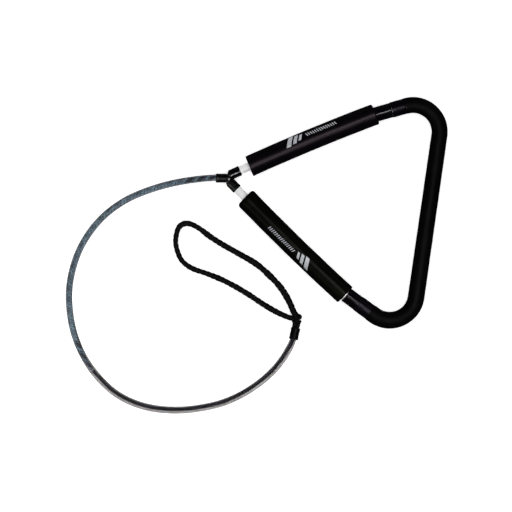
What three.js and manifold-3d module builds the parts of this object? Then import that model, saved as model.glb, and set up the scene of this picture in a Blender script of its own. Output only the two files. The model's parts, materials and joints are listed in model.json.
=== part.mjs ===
// Triangular tow handle with a covered tether and a tie loop.
//
// A rigid bent tube (bar, two bends, two short arms) carries a rubber grip. Two hoses leave the
// tube's mouths inside foam floats and meet in a moulded Y. A rope runs through all of it, and the
// tether, a rope in a clear hose, leaves the Y and ends in a knotted tie loop.
//
// Millimetres, +Z up. The handle lies on the plane Z = 0 with its bar along Y. The tether leaves
// the Y towards -X. Origin: middle of the rigid handle's outline (bar to Y), on the plane.

import * as THREE from 'three';
import { mergeVertices, mergeGeometries } from 'three/addons/utils/BufferGeometryUtils.js';
import Module from 'manifold-3d';

const wasm = await Module();
wasm.setup();

// ---------------------------------------------------------------- driving dimensions
const GAP = 0.3;                 // clearance between touching pieces

const BAR_X = 170.6;             // centreline of the bar
const BAR_Z = 13.6;              // height of the bar's centreline: the grip lies on Z = 0
const BEND_R = 44;               // centreline radius of both bends
const BEND_Y = 134.9;            // bend centres at Y = +-BEND_Y
const UPPER_TURN = 114.2;        // degrees turned by the upper bend
const LOWER_TURN = 118.2;        // degrees turned by the lower bend
const UPPER_ARM = 49.3;          // straight length after the upper bend
const LOWER_ARM = 54.3;          // straight length after the lower bend

const CORE_OD = 22.2, CORE_ID = 19.0;   // aluminium tube, 7/8 inch
const GRIP_OD = 27.2;            // rubber grip
const BAND_OD = 25.8;            // end bands of the grip
const COVER_OD = 24.9;           // covers on the tube's bare ends
const SLEEVE_ID = CORE_OD + 2 * GAP;
const UPPER_BAND_LEN = 23, LOWER_BAND_LEN = 25;
const UPPER_COVER_LEN = 24.5, LOWER_COVER_LEN = 21.5;

const FLOAT_OD = 35.4, FLOAT_ID = 16.4;
const FLOAT_Z = 17.7;            // floats lie on Z = 0
const UPPER_FLOAT = [[60.9, 154.3], [-132.6, 39.6]];   // bar side, Y side
const LOWER_FLOAT = [[54.0, -147.2], [-132.1, -11.9]];

const LEAD_OD = 13.4, LEAD_ID = 9.4;    // hoses through the floats
const BRIDLE_D = 6.2;            // rope in the hoses and the tube
const BUSH_LEN = 14;

const Y_CENTRE = [-167.0, 15.7];
const Y_UPPER_ROOT = [-167.7, 17.2], Y_LOWER_ROOT = [-167.0, 14.6];   // where the arms' axes start
const Y_UPPER_END = [-146.6, 30.6], Y_LOWER_END = [-147.0, -0.4], Y_TETHER_END = [-184.3, 13.2];
const Y_ARM_OD = 16.2, Y_TETHER_OD = 14.6;
const Y_NECK_OD = 13.6, Y_UPPER_STEP = 6.8, Y_LOWER_STEP = 8.2;   // barrels step down behind their sockets
const LEAD_SOCKET = 11;          // depth of the lead hoses in the Y
const TETHER_SOCKET = 9;         // depth of the tether hose in the Y

const TETHER_OD = 11.0, TETHER_ID = 8.6;
const TETHER_ROPE_D = 8.2;
const TAIL_ROPE_D = 5.6;
const LOOP_D = 9.6;
const SLEEVE_OD = 15.4, SLEEVE_LEN = 19.5;

// Route of the tether's centreline from the Y to the end sleeve (plan view; it comes down from the
// Y's height to the plane over the first 90 mm).
const TETHER_ROUTE = [
  [-206.9, 8.6], [-228.0, 2.8], [-248.2, -3.6], [-267.6, -11.1], [-297.9, -25.6], [-327.5, -44.4],
  [-356.2, -71.6], [-377.7, -103.6], [-391.6, -138.0], [-397.6, -168.4], [-398.8, -200.6],
  [-394.2, -232.1], [-384.2, -265.2], [-369.7, -294.5], [-348.6, -323.1], [-323.4, -346.4],
  [-296.2, -364.0], [-263.0, -375.2], [-230.6, -378.7], [-192.9, -375.9], [-158.8, -367.8],
  [-122.6, -354.2], [-93.6, -336.5], [-65.1, -311.9], [-42.4, -284.3], [-27.6, -256.3],
];
const SLEEVE_START = [-19.9, -232.7], SLEEVE_END = [-18.5, -213.2];
const KNOT = [-17.4, -200.0];    // centre of the knot
const KNOT_R = 7.6, NECK_D = 9.2;
const ORIGIN_SHIFT = [0.604, -0.01, 0];
// Route of the loop's rope, knot to knot.
const LOOP_ROUTE = [
  [-25.0, -189.1], [-35.7, -171.5], [-52.4, -151.2], [-73.6, -133.9], [-97.4, -118.4],
  [-126.7, -106.3], [-160.3, -93.2], [-180.2, -84.1], [-200.9, -72.7], [-218.2, -67.3],
  [-227.2, -69.2], [-233.7, -75.3], [-235.9, -86.4], [-235.7, -100.8], [-230.3, -115.9],
  [-221.1, -130.0], [-204.0, -139.8], [-178.2, -145.1], [-152.1, -151.4], [-125.5, -160.6],
  [-101.3, -170.8], [-77.6, -182.2], [-53.4, -192.0], [-34.4, -197.4],
];

// ---------------------------------------------------------------- materials
const mat = (color, roughness, metalness, extra = {}) =>
  new THREE.MeshStandardMaterial({ color, roughness, metalness, ...extra });
const RUBBER = mat(0x0b0b0c, 0.55, 0);
const SHRINK = mat(0x0b0a0e, 0.32, 0);
const GLOSS = mat(0x0a090d, 0.16, 0);
const FOAM = mat(0x0d0c0e, 0.5, 0);
const LEAD = mat(0xe8e8ec, 0.35, 0);
const MOULDED = mat(0x09090d, 0.25, 0);
const CLEAR = mat(0xc9c8d2, 0.12, 0, { transparent: true, opacity: 0.4 });
const ROPE_GREY = mat(0x6d7c8c, 0.8, 0);
const ROPE_DARK = mat(0x1a1b2a, 0.8, 0);
const ROPE_BLACK = mat(0x0d0d0d, 0.85, 0);
const ALUMINIUM = mat(0xb4b6ba, 0.35, 1);
const NYLON = mat(0x2a2a2d, 0.5, 0);

// ---------------------------------------------------------------- helpers
const v3 = (p, z = 0) => new THREE.Vector3(p[0], p[1], p.length > 2 ? p[2] : z);
const UP = new THREE.Vector3(0, 0, 1);

// A curve given by its stations. A sweep takes one section at each station, and every section
// stays level: its first axis points up, so a flat of the section lies flat on the plane.
class StationCurve extends THREE.Curve {
  constructor(points) { super(); this.points = points; }
  get steps() { return this.points.length - 1; }
  index(u) { return Math.min(this.steps, Math.max(0, Math.round(u * this.steps))); }
  getPoint(u, target = new THREE.Vector3()) { return target.copy(this.points[this.index(u)]); }
  getPointAt(u, target) { return this.getPoint(u, target); }
  getTangent(u, target = new THREE.Vector3()) {
    const i = this.index(u), n = this.steps;
    const a = this.points[Math.max(0, i - 1)], b = this.points[i], c = this.points[Math.min(n, i + 1)];
    const s = new THREE.Vector3();
    if (i > 0) s.add(b.clone().sub(a).normalize());
    if (i < n) s.add(c.clone().sub(b).normalize());
    return target.copy(s.normalize());
  }
  getTangentAt(u, target) { return this.getTangent(u, target); }
  computeFrenetFrames(segments) {
    const tangents = [], normals = [], binormals = [];
    for (let i = 0; i <= segments; i++) {
      const t = this.getTangent(i / segments);
      const side = new THREE.Vector3().crossVectors(UP, t).normalize();
      const up = new THREE.Vector3().crossVectors(t, side).normalize();
      tangents.push(t); normals.push(up); binormals.push(new THREE.Vector3().crossVectors(t, up));
    }
    return { tangents, normals, binormals };
  }
}

// A round section of n sides with a flat towards +-x of the section, d across its flats.
function circle(shapeOrPath, d, n, clockwise = false) {
  const r = d / 2 / Math.cos(Math.PI / n);
  for (let i = 0; i < n; i++) {
    const a = (clockwise ? -1 : 1) * (i + 0.5) * 2 * Math.PI / n;
    const x = r * Math.cos(a), y = r * Math.sin(a);
    if (i) shapeOrPath.lineTo(x, y); else shapeOrPath.moveTo(x, y);
  }
  shapeOrPath.closePath();
  return shapeOrPath;
}

function sweep(points, od, n, id = 0, m = n) {
  const shape = circle(new THREE.Shape(), od, n);
  if (id) shape.holes.push(circle(new THREE.Path(), id, m, true));
  const curve = new StationCurve(points);
  return new THREE.ExtrudeGeometry(shape, { steps: curve.steps, extrudePath: curve, bevelEnabled: false });
}

// Closed solid from a geometry, and back.
function solid(geometry) {
  const g = geometry.index ? geometry.clone() : geometry.clone();
  for (const k of Object.keys(g.attributes)) if (k !== 'position') g.deleteAttribute(k);
  const m = mergeVertices(g, 1e-4);
  // faces that closed up to a line are left out
  const idx = [];
  for (let i = 0; i < m.index.count; i += 3) {
    const a = m.index.getX(i), b = m.index.getX(i + 1), c = m.index.getX(i + 2);
    if (a !== b && b !== c && c !== a) idx.push(a, b, c);
  }
  return new wasm.Manifold(new wasm.Mesh({
    numProp: 3,
    vertProperties: new Float32Array(m.attributes.position.array),
    triVerts: new Uint32Array(idx),
  }));
}
function geometryOf(manifold) {
  const m = manifold.getMesh();
  const g = new THREE.BufferGeometry();
  g.setAttribute('position', new THREE.BufferAttribute(new Float32Array(m.vertProperties), 3));
  g.setIndex(new THREE.BufferAttribute(new Uint32Array(m.triVerts), 1));
  return g;
}
const unite = (list) => list.map(solid).reduce((a, b) => a.add(b));
const cut = (base, ...tools) => tools.reduce((a, t) => a.subtract(t), base);

const group = new THREE.Group();
function node(name, geometry, material) {
  const g = geometry.isBufferGeometry ? geometry : geometryOf(geometry);
  g.computeVertexNormals();
  const mesh = new THREE.Mesh(g, material);
  mesh.name = name;
  group.add(mesh);
  return mesh;
}

// Point and stretch along a polyline, by length.
function lengths(pts) {
  const s = [0];
  for (let i = 1; i < pts.length; i++) s.push(s[i - 1] + pts[i].distanceTo(pts[i - 1]));
  return s;
}
function pointAt(pts, d) {
  const s = lengths(pts), L = s[s.length - 1];
  d = Math.max(0, Math.min(L, d));
  let i = 1;
  while (i < s.length - 1 && s[i] < d) i++;
  return pts[i - 1].clone().lerp(pts[i], (d - s[i - 1]) / (s[i] - s[i - 1]));
}
function stretch(pts, from, to) {
  const s = lengths(pts);
  const out = [pointAt(pts, from)];
  for (let i = 0; i < pts.length; i++) if (s[i] > from + 0.6 && s[i] < to - 0.6) out.push(pts[i].clone());
  out.push(pointAt(pts, to));
  return out;
}
const total = (pts) => lengths(pts)[pts.length - 1];
const extend = (a, b, d) => b.clone().addScaledVector(b.clone().sub(a).normalize(), d);   // from a through b, d further

// Smooth route through points, in equal steps.
function smooth(points, steps) {
  return new THREE.CatmullRomCurve3(points, false, 'centripetal').getSpacedPoints(steps);
}

// ---------------------------------------------------------------- the bent tube's centreline
// From the upper mouth, round the upper bend, down the bar, round the lower bend, to the lower
// mouth. The arms rise a little, because the floats are thicker than the grip.
const rad = THREE.MathUtils.degToRad;
const upperArc = (deg) => [BAR_X - BEND_R + BEND_R * Math.cos(rad(deg)), BEND_Y + BEND_R * Math.sin(rad(deg))];
const lowerArc = (deg) => [BAR_X - BEND_R + BEND_R * Math.cos(rad(deg)), -BEND_Y - BEND_R * Math.sin(rad(deg))];
const upperBendEnd = v3(upperArc(UPPER_TURN)), lowerBendEnd = v3(lowerArc(LOWER_TURN));
const upperDir = new THREE.Vector3(-Math.sin(rad(UPPER_TURN)), Math.cos(rad(UPPER_TURN)), 0);
const lowerDir = new THREE.Vector3(-Math.sin(rad(LOWER_TURN)), -Math.cos(rad(LOWER_TURN)), 0);
const upperMouth = upperBendEnd.clone().addScaledVector(upperDir, UPPER_ARM);
const lowerMouth = lowerBendEnd.clone().addScaledVector(lowerDir, LOWER_ARM);

// height: level along the bar, then rising evenly to the float's height at the mouths
const rise = (p, mouth) => {
  const f = (BAR_X - p.x) / (BAR_X - mouth.x);
  return BAR_Z + (FLOAT_Z - BAR_Z) * Math.max(0, f);
};
const ARC_STEPS = 9;
const upperHalf = [upperMouth.clone()];
for (let i = ARC_STEPS; i >= 0; i--) upperHalf.push(v3(upperArc(UPPER_TURN * i / ARC_STEPS)));
const lowerHalf = [];
for (let i = 0; i <= ARC_STEPS; i++) lowerHalf.push(v3(lowerArc(LOWER_TURN * i / ARC_STEPS)));
lowerHalf.push(lowerMouth.clone());
upperHalf.forEach((p) => { p.z = rise(p, upperMouth); });
lowerHalf.forEach((p) => { p.z = rise(p, lowerMouth); });
const tubeLine = [...upperHalf, ...lowerHalf];
const tubeLength = total(tubeLine);

// ---------------------------------------------------------------- handle: tube, grip, bands, covers
node('handle_core_tube', sweep(tubeLine, CORE_OD, 16, CORE_ID, 12), ALUMINIUM);

const upperBandStart = UPPER_COVER_LEN, upperGripStart = UPPER_COVER_LEN + UPPER_BAND_LEN;
const lowerBandEnd = tubeLength - LOWER_COVER_LEN, lowerGripEnd = lowerBandEnd - LOWER_BAND_LEN;
node('grip', sweep(stretch(tubeLine, upperGripStart + GAP, lowerGripEnd - GAP), GRIP_OD, 20, SLEEVE_ID, 16), RUBBER);
node('upper_grip_band', sweep(stretch(tubeLine, upperBandStart + GAP, upperGripStart), BAND_OD, 20, SLEEVE_ID, 16), SHRINK);
node('lower_grip_band', sweep(stretch(tubeLine, lowerGripEnd, lowerBandEnd - GAP), BAND_OD, 20, SLEEVE_ID, 16), SHRINK);
node('upper_tube_cover', sweep(stretch(tubeLine, 0, upperBandStart), COVER_OD, 20, SLEEVE_ID, 16), GLOSS);
node('lower_tube_cover', sweep(stretch(tubeLine, lowerBandEnd, tubeLength), COVER_OD, 20, SLEEVE_ID, 16), GLOSS);

// ---------------------------------------------------------------- floats
const upperFloatLine = UPPER_FLOAT.map((p) => v3(p, FLOAT_Z));
const lowerFloatLine = LOWER_FLOAT.map((p) => v3(p, FLOAT_Z));
node('upper_float', sweep(upperFloatLine, FLOAT_OD, 24, FLOAT_ID, 16), FOAM);
node('lower_float', sweep(lowerFloatLine, FLOAT_OD, 24, FLOAT_ID, 16), FOAM);

// ---------------------------------------------------------------- lead hoses and bushes
// A lead runs from the Y's socket, straight through the float, and turns into the tube's mouth.
const yc = v3(Y_CENTRE, FLOAT_Z);
function leadLine(yRoot, yEnd, floatLine, mouth, dir, inside) {
  const end = v3(yEnd, FLOAT_Z);
  const inDir = end.clone().sub(v3(yRoot, FLOAT_Z)).normalize();
  const floatDir = floatLine[0].clone().sub(floatLine[1]).normalize();
  const start = end.clone().addScaledVector(inDir, -LEAD_SOCKET);
  const m = mouth.clone();
  const into = mouth.clone().addScaledVector(dir, -inside);
  into.z = FLOAT_Z - inside * 0.035;
  const knots = [
    start, end.clone(), end.clone().addScaledVector(inDir, 4), floatLine[1].clone().addScaledVector(floatDir, 4),
    floatLine[1].clone().lerp(floatLine[0], 0.3), floatLine[1].clone().lerp(floatLine[0], 0.62),
    floatLine[0].clone().addScaledVector(floatDir, -34), m.clone().addScaledVector(dir, 1).setZ(FLOAT_Z), into,
  ];
  return smooth(knots, 16);
}
const upperLead = leadLine(Y_UPPER_ROOT, Y_UPPER_END, upperFloatLine, upperMouth, upperDir, BUSH_LEN - 2);
const lowerLead = leadLine(Y_LOWER_ROOT, Y_LOWER_END, lowerFloatLine, lowerMouth, lowerDir, BUSH_LEN - 2);
node('upper_lead_tube', sweep(upperLead, LEAD_OD, 12, LEAD_ID, 10), LEAD);
node('lower_lead_tube', sweep(lowerLead, LEAD_OD, 12, LEAD_ID, 10), LEAD);

// Bushes press into the tube's mouths: a sleeve in the tube, cut to take the hose.
const upperBush = solid(sweep(stretch(tubeLine, 0.2, BUSH_LEN), CORE_ID - 2 * GAP, 12));
const lowerBush = solid(sweep(stretch(tubeLine, tubeLength - BUSH_LEN, tubeLength - 0.2), CORE_ID - 2 * GAP, 12));
const leadRoom = (line) => {
  const a = extend(line[1], line[0], 3), b = extend(line[line.length - 2], line[line.length - 1], 6);
  return solid(sweep([a, ...line.slice(1, -1), b], LEAD_OD + 2 * GAP, 12));
};
const upperRoom = leadRoom(upperLead), lowerRoom = leadRoom(lowerLead);
node('upper_end_bush', cut(upperBush, upperRoom), NYLON);
node('lower_end_bush', cut(lowerBush, lowerRoom), NYLON);

// ---------------------------------------------------------------- Y connector
const tetherDir = v3(Y_TETHER_END).sub(v3(Y_CENTRE)).normalize();
const yUpper = v3(Y_UPPER_END, FLOAT_Z), yLower = v3(Y_LOWER_END, FLOAT_Z), yTether = v3(Y_TETHER_END, FLOAT_Z);
const uRoot = v3(Y_UPPER_ROOT, FLOAT_Z), lRoot = v3(Y_LOWER_ROOT, FLOAT_Z);
// Each arm is a barrel with a step down to a neck at the hub.
const along = (from, to, d) => from.clone().add(to.clone().sub(from).setLength(d));
const yBody = unite([
  sweep([uRoot, along(uRoot, yUpper, 9)], Y_NECK_OD, 20),
  sweep([along(uRoot, yUpper, Y_UPPER_STEP), yUpper], Y_ARM_OD, 20),
  sweep([lRoot, along(lRoot, yLower, 10)], Y_NECK_OD, 20),
  sweep([along(lRoot, yLower, Y_LOWER_STEP), yLower], Y_ARM_OD, 20),
  sweep([yc.clone().addScaledVector(tetherDir, -6), yTether], Y_TETHER_OD, 20),
  new THREE.SphereGeometry(Y_TETHER_OD / 2, 20, 12).translate(yc.x + 3, yc.y, yc.z),
]);
const bore = (from, to, d) => solid(sweep([from, to], d, 16));
const out = (root, end, d = 3) => extend(root, end, d);
const into = (root, end, depth) => end.clone().add(root.clone().sub(end).setLength(depth));
node('y_connector', cut(
  yBody,
  bore(into(uRoot, yUpper, LEAD_SOCKET + GAP), out(uRoot, yUpper), LEAD_OD + 2 * GAP),
  bore(into(lRoot, yLower, LEAD_SOCKET + GAP), out(lRoot, yLower), LEAD_OD + 2 * GAP),
  bore(into(yc, yTether, TETHER_SOCKET + GAP), out(yc, yTether), TETHER_OD + 2 * GAP),
  bore(uRoot, out(uRoot, yUpper), 9.0), bore(lRoot, out(lRoot, yLower), 9.0), bore(yc.clone().addScaledVector(tetherDir, -5), out(yc, yTether), 9.6),
), MOULDED);

// The splice sits in the Y's hollow, with the rope ends meeting it face to face.
const spliceA = yc.clone().addScaledVector(tetherDir, 7.2), spliceB = yc.clone().addScaledVector(tetherDir, -2.0);
node('rope_splice', sweep([spliceA, spliceB], 8.4, 12), ROPE_BLACK);
const spliceRoom = solid(sweep([extend(spliceB, spliceA, GAP), extend(spliceA, spliceB, GAP)], 8.4 + 2 * GAP, 12));

// Bridle rope: from the splice through the upper hose, the whole bent tube and the lower hose.
const insetTube = stretch(tubeLine, BUSH_LEN + 8, tubeLength - BUSH_LEN - 8);
const every = (pts, k) => pts.filter((_, i) => i % k === 0);
const bridleLine = [
  extend(yUpper, uRoot, -6.2), ...every(upperLead.slice(1), 2), ...insetTube,
  ...every(lowerLead.slice(1), 2).reverse(), extend(yLower, lRoot, -6.2),
];
node('bridle_rope', cut(solid(sweep(bridleLine, BRIDLE_D, 8)), spliceRoom), ROPE_GREY);

// ---------------------------------------------------------------- tether
// The hose leaves the Y level, comes down to the plane within 90 mm and lies on it.
const TETHER_LIE = TETHER_OD / 2 / Math.cos(Math.PI / 10);
function tetherHeight(i) {
  const down = [1, 0.93, 0.62, 0.27, 0.06, 0];
  const f = i < down.length ? down[i] : 0;
  return TETHER_LIE + (FLOAT_Z - TETHER_LIE) * f;
}
const tetherIn = into(yc, yTether, TETHER_SOCKET);
const sleeveA = v3(SLEEVE_START), sleeveB = v3(SLEEVE_END);
const sleeveDir = sleeveB.clone().sub(sleeveA).normalize();
const SLEEVE_Z = SLEEVE_OD / 2 / Math.cos(Math.PI / 14);
sleeveA.z = SLEEVE_Z; sleeveB.z = SLEEVE_Z;
const hoseEnd = sleeveA.clone().addScaledVector(sleeveDir, 11);
const tetherKnots = [
  tetherIn, yTether.clone(), extend(yc, yTether, 8),
  ...TETHER_ROUTE.map((p, i) => v3(p, tetherHeight(i))),
  sleeveA.clone(), hoseEnd,
];
tetherKnots[tetherKnots.length - 3].z = TETHER_LIE + 0.9;
const tetherLine = smooth(tetherKnots, 58);
node('tether_jacket', sweep(tetherLine, TETHER_OD, 10, TETHER_ID, 8), CLEAR);

// Ropes in the hose: the grey one from the splice, the dark one to the knot.
const TAIL_FROM = 502;           // along the hose, where the dark tail starts
const ropeLead = [extend(tetherLine[2], tetherLine[0], 3), ...tetherLine];
const greyLine = stretch(ropeLead, 1, TAIL_FROM);
const darkLine = [...stretch(ropeLead, TAIL_FROM + GAP, total(ropeLead) - 1), sleeveB.clone().addScaledVector(sleeveDir, -1)];
node('tether_rope', cut(solid(sweep(greyLine, TETHER_ROPE_D, 8)), spliceRoom), ROPE_GREY);
node('tether_tail_rope', sweep(darkLine, TAIL_ROPE_D, 8), ROPE_DARK);

// End sleeve over the hose's end.
const sleeveSolid = solid(sweep([sleeveA, sleeveB], SLEEVE_OD, 14));
const hoseRoom = solid(sweep([...tetherLine.slice(-6, -1), hoseEnd.clone().addScaledVector(sleeveDir, GAP)], TETHER_OD + 2 * GAP, 10));
const tailRoom = solid(sweep([sleeveA.clone().addScaledVector(sleeveDir, 8), sleeveB.clone().addScaledVector(sleeveDir, 2)], TAIL_ROPE_D + 2 * GAP, 8));
node('tether_end_sleeve', cut(sleeveSolid, hoseRoom, tailRoom), SHRINK);

// ---------------------------------------------------------------- knot and loop
// The knot is a round body with a neck into the end sleeve. The loop's two strands stop at its
// round surface, so the loop swings about the knot's centre.
const knotCentre = v3(KNOT, SLEEVE_Z);
const knotA = sleeveB.clone().addScaledVector(sleeveDir, GAP);
const knotSolid = unite([
  new THREE.SphereGeometry(KNOT_R, 20, 12).translate(knotCentre.x, knotCentre.y, knotCentre.z),
  sweep([knotA, knotA.clone().addScaledVector(sleeveDir, 8)], NECK_D, 12),
]);
node('loop_knot', knotSolid, ROPE_BLACK);

const LOOP_LIE = LOOP_D / 2 / Math.cos(Math.PI / 10) + 0.2;
const loopKnots = [
  knotCentre.clone(), ...LOOP_ROUTE.map((p) => v3(p, LOOP_LIE)), knotCentre.clone(),
];
const loopLine = smooth(loopKnots, 56);
const loopSolid = cut(
  solid(sweep(loopLine.slice(0, 29), LOOP_D, 10)).add(solid(sweep(loopLine.slice(28), LOOP_D, 10))),
  solid(new THREE.SphereGeometry(KNOT_R + 2 * GAP, 20, 12).translate(knotCentre.x, knotCentre.y, knotCentre.z)),
);
node('tie_loop', loopSolid, ROPE_BLACK);

// Origin: the middle of the handle without its tether.
group.position.set(...ORIGIN_SHIFT);

export default group;
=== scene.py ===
import json
import math

import bpy
import numpy as np
from mathutils import Matrix, Vector, noise
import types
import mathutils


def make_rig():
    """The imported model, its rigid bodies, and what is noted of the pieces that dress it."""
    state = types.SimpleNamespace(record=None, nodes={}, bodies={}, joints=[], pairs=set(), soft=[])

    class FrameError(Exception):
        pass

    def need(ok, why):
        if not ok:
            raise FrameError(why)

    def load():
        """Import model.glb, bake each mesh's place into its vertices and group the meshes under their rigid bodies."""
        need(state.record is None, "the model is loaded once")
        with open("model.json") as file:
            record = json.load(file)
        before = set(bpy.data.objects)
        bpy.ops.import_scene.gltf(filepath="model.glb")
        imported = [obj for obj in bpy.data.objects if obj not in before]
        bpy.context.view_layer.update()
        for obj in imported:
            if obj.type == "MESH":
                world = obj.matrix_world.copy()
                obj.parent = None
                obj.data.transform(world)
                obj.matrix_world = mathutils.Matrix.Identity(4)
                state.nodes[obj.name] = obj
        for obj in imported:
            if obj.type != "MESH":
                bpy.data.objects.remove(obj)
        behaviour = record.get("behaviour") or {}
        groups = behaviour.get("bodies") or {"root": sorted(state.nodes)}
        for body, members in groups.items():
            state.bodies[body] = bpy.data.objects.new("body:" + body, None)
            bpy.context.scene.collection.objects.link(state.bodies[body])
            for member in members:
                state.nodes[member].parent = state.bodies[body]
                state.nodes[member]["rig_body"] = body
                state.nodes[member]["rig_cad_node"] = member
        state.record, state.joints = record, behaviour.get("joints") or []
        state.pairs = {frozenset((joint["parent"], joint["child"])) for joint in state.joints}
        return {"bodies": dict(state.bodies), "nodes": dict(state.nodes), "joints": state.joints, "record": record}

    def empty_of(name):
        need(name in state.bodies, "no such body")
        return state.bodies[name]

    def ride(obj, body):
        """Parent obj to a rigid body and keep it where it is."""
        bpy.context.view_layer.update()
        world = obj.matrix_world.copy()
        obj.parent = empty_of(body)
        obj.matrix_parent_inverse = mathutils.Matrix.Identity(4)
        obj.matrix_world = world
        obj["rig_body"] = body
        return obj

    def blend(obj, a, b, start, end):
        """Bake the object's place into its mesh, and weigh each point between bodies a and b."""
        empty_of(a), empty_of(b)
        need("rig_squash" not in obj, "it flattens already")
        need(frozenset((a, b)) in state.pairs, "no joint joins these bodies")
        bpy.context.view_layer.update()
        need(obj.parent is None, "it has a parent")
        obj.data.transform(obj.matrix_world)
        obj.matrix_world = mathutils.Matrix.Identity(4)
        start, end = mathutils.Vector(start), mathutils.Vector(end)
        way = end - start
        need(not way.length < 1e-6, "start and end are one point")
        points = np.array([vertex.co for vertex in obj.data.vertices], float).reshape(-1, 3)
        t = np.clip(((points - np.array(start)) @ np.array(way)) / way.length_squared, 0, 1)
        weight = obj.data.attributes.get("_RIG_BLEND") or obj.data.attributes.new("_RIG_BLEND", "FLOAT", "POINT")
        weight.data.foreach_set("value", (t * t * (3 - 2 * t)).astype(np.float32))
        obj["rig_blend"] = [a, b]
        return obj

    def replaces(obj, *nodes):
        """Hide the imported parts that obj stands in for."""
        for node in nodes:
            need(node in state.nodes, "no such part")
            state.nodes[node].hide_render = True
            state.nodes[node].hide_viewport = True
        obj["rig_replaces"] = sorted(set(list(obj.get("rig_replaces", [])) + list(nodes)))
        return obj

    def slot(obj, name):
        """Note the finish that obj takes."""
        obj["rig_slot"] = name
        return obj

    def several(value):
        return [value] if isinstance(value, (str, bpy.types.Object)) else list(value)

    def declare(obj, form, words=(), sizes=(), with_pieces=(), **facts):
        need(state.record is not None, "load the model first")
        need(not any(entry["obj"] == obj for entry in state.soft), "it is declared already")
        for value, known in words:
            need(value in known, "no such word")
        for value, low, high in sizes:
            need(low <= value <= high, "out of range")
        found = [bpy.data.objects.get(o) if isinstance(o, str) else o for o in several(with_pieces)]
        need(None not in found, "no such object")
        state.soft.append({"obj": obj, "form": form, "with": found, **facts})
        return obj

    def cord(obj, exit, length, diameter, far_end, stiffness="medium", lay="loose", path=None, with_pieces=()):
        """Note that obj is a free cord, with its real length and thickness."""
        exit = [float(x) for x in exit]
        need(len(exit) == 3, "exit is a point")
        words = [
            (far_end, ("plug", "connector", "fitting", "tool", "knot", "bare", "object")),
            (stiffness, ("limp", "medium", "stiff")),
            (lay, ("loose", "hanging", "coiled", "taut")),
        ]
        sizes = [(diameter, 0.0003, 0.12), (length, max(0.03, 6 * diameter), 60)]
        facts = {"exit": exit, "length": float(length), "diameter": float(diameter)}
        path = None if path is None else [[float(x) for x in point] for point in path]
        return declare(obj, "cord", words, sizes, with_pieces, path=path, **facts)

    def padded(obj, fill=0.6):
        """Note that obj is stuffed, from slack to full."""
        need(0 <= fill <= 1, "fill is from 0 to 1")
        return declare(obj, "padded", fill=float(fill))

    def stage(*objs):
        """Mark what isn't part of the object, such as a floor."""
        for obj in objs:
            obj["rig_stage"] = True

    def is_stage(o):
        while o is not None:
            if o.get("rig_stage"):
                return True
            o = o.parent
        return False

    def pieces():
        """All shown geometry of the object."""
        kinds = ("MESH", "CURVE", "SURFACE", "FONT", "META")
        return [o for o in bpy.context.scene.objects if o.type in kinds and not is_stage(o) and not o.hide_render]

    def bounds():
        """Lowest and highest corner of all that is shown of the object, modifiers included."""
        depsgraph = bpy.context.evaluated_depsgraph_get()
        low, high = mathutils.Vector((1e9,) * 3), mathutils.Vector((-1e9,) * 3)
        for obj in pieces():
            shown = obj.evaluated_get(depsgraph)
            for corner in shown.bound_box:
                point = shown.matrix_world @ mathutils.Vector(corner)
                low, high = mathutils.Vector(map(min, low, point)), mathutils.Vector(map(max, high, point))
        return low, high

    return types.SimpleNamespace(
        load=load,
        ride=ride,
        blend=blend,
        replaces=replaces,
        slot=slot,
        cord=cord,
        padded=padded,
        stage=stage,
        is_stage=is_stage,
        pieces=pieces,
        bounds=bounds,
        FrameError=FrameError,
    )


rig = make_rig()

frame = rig.load()
cad_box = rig.bounds()

# ------------------------------------------------------------------ sizes, in millimetres
SHIFT = np.array([0.604, -0.01, 0.0])
BAR_X, BAR_Z, BEND_R, BEND_Y = 170.6, 13.6, 44.0, 134.9
UPPER_TURN, LOWER_TURN, UPPER_ARM, LOWER_ARM = 114.2, 118.2, 49.3, 54.3
FLOAT_Z = 17.7
UPPER_FLOAT = [[60.9, 154.3], [-132.6, 39.6]]
LOWER_FLOAT = [[54.0, -147.2], [-132.1, -11.9]]
Y_CENTRE = [-167.0, 15.7]
Y_UPPER_ROOT, Y_LOWER_ROOT = [-167.7, 17.2], [-167.0, 14.6]
Y_UPPER_END, Y_LOWER_END, Y_TETHER_END = [-146.6, 30.6], [-147.0, -0.4], [-184.3, 13.2]
TETHER_ROUTE = [
    [-206.9, 8.6], [-228.0, 2.8], [-248.2, -3.6], [-267.6, -11.1], [-297.9, -25.6], [-327.5, -44.4],
    [-356.2, -71.6], [-377.7, -103.6], [-391.6, -138.0], [-397.6, -168.4], [-398.8, -200.6],
    [-394.2, -232.1], [-384.2, -265.2], [-369.7, -294.5], [-348.6, -323.1], [-323.4, -346.4],
    [-296.2, -364.0], [-263.0, -375.2], [-230.6, -378.7], [-192.9, -375.9], [-158.8, -367.8],
    [-122.6, -354.2], [-93.6, -336.5], [-65.1, -311.9], [-42.4, -284.3], [-27.6, -256.3],
]
SLEEVE_START, SLEEVE_END = [-19.9, -232.7], [-18.5, -213.2]
KNOT = [-17.4, -200.0]
LOOP_ROUTE = [
    [-25.0, -189.1], [-35.7, -171.5], [-52.4, -151.2], [-73.6, -133.9], [-97.4, -118.4],
    [-126.7, -106.3], [-160.3, -93.2], [-180.2, -84.1], [-200.9, -72.7], [-218.2, -67.3],
    [-227.2, -69.2], [-233.7, -75.3], [-235.9, -86.4], [-235.7, -100.8], [-230.3, -115.9],
    [-221.1, -130.0], [-204.0, -139.8], [-178.2, -145.1], [-152.1, -151.4], [-125.5, -160.6],
    [-101.3, -170.8], [-77.6, -182.2], [-53.4, -192.0], [-34.4, -197.4],
]
TAIL_FROM = 502.0


def mm(*xyz):
    """A point given in the source's millimetres, in the row frame in metres."""
    p = np.array(xyz if len(xyz) == 3 else (*xyz, 0.0), float)
    return (p + SHIFT) / 1000


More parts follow.
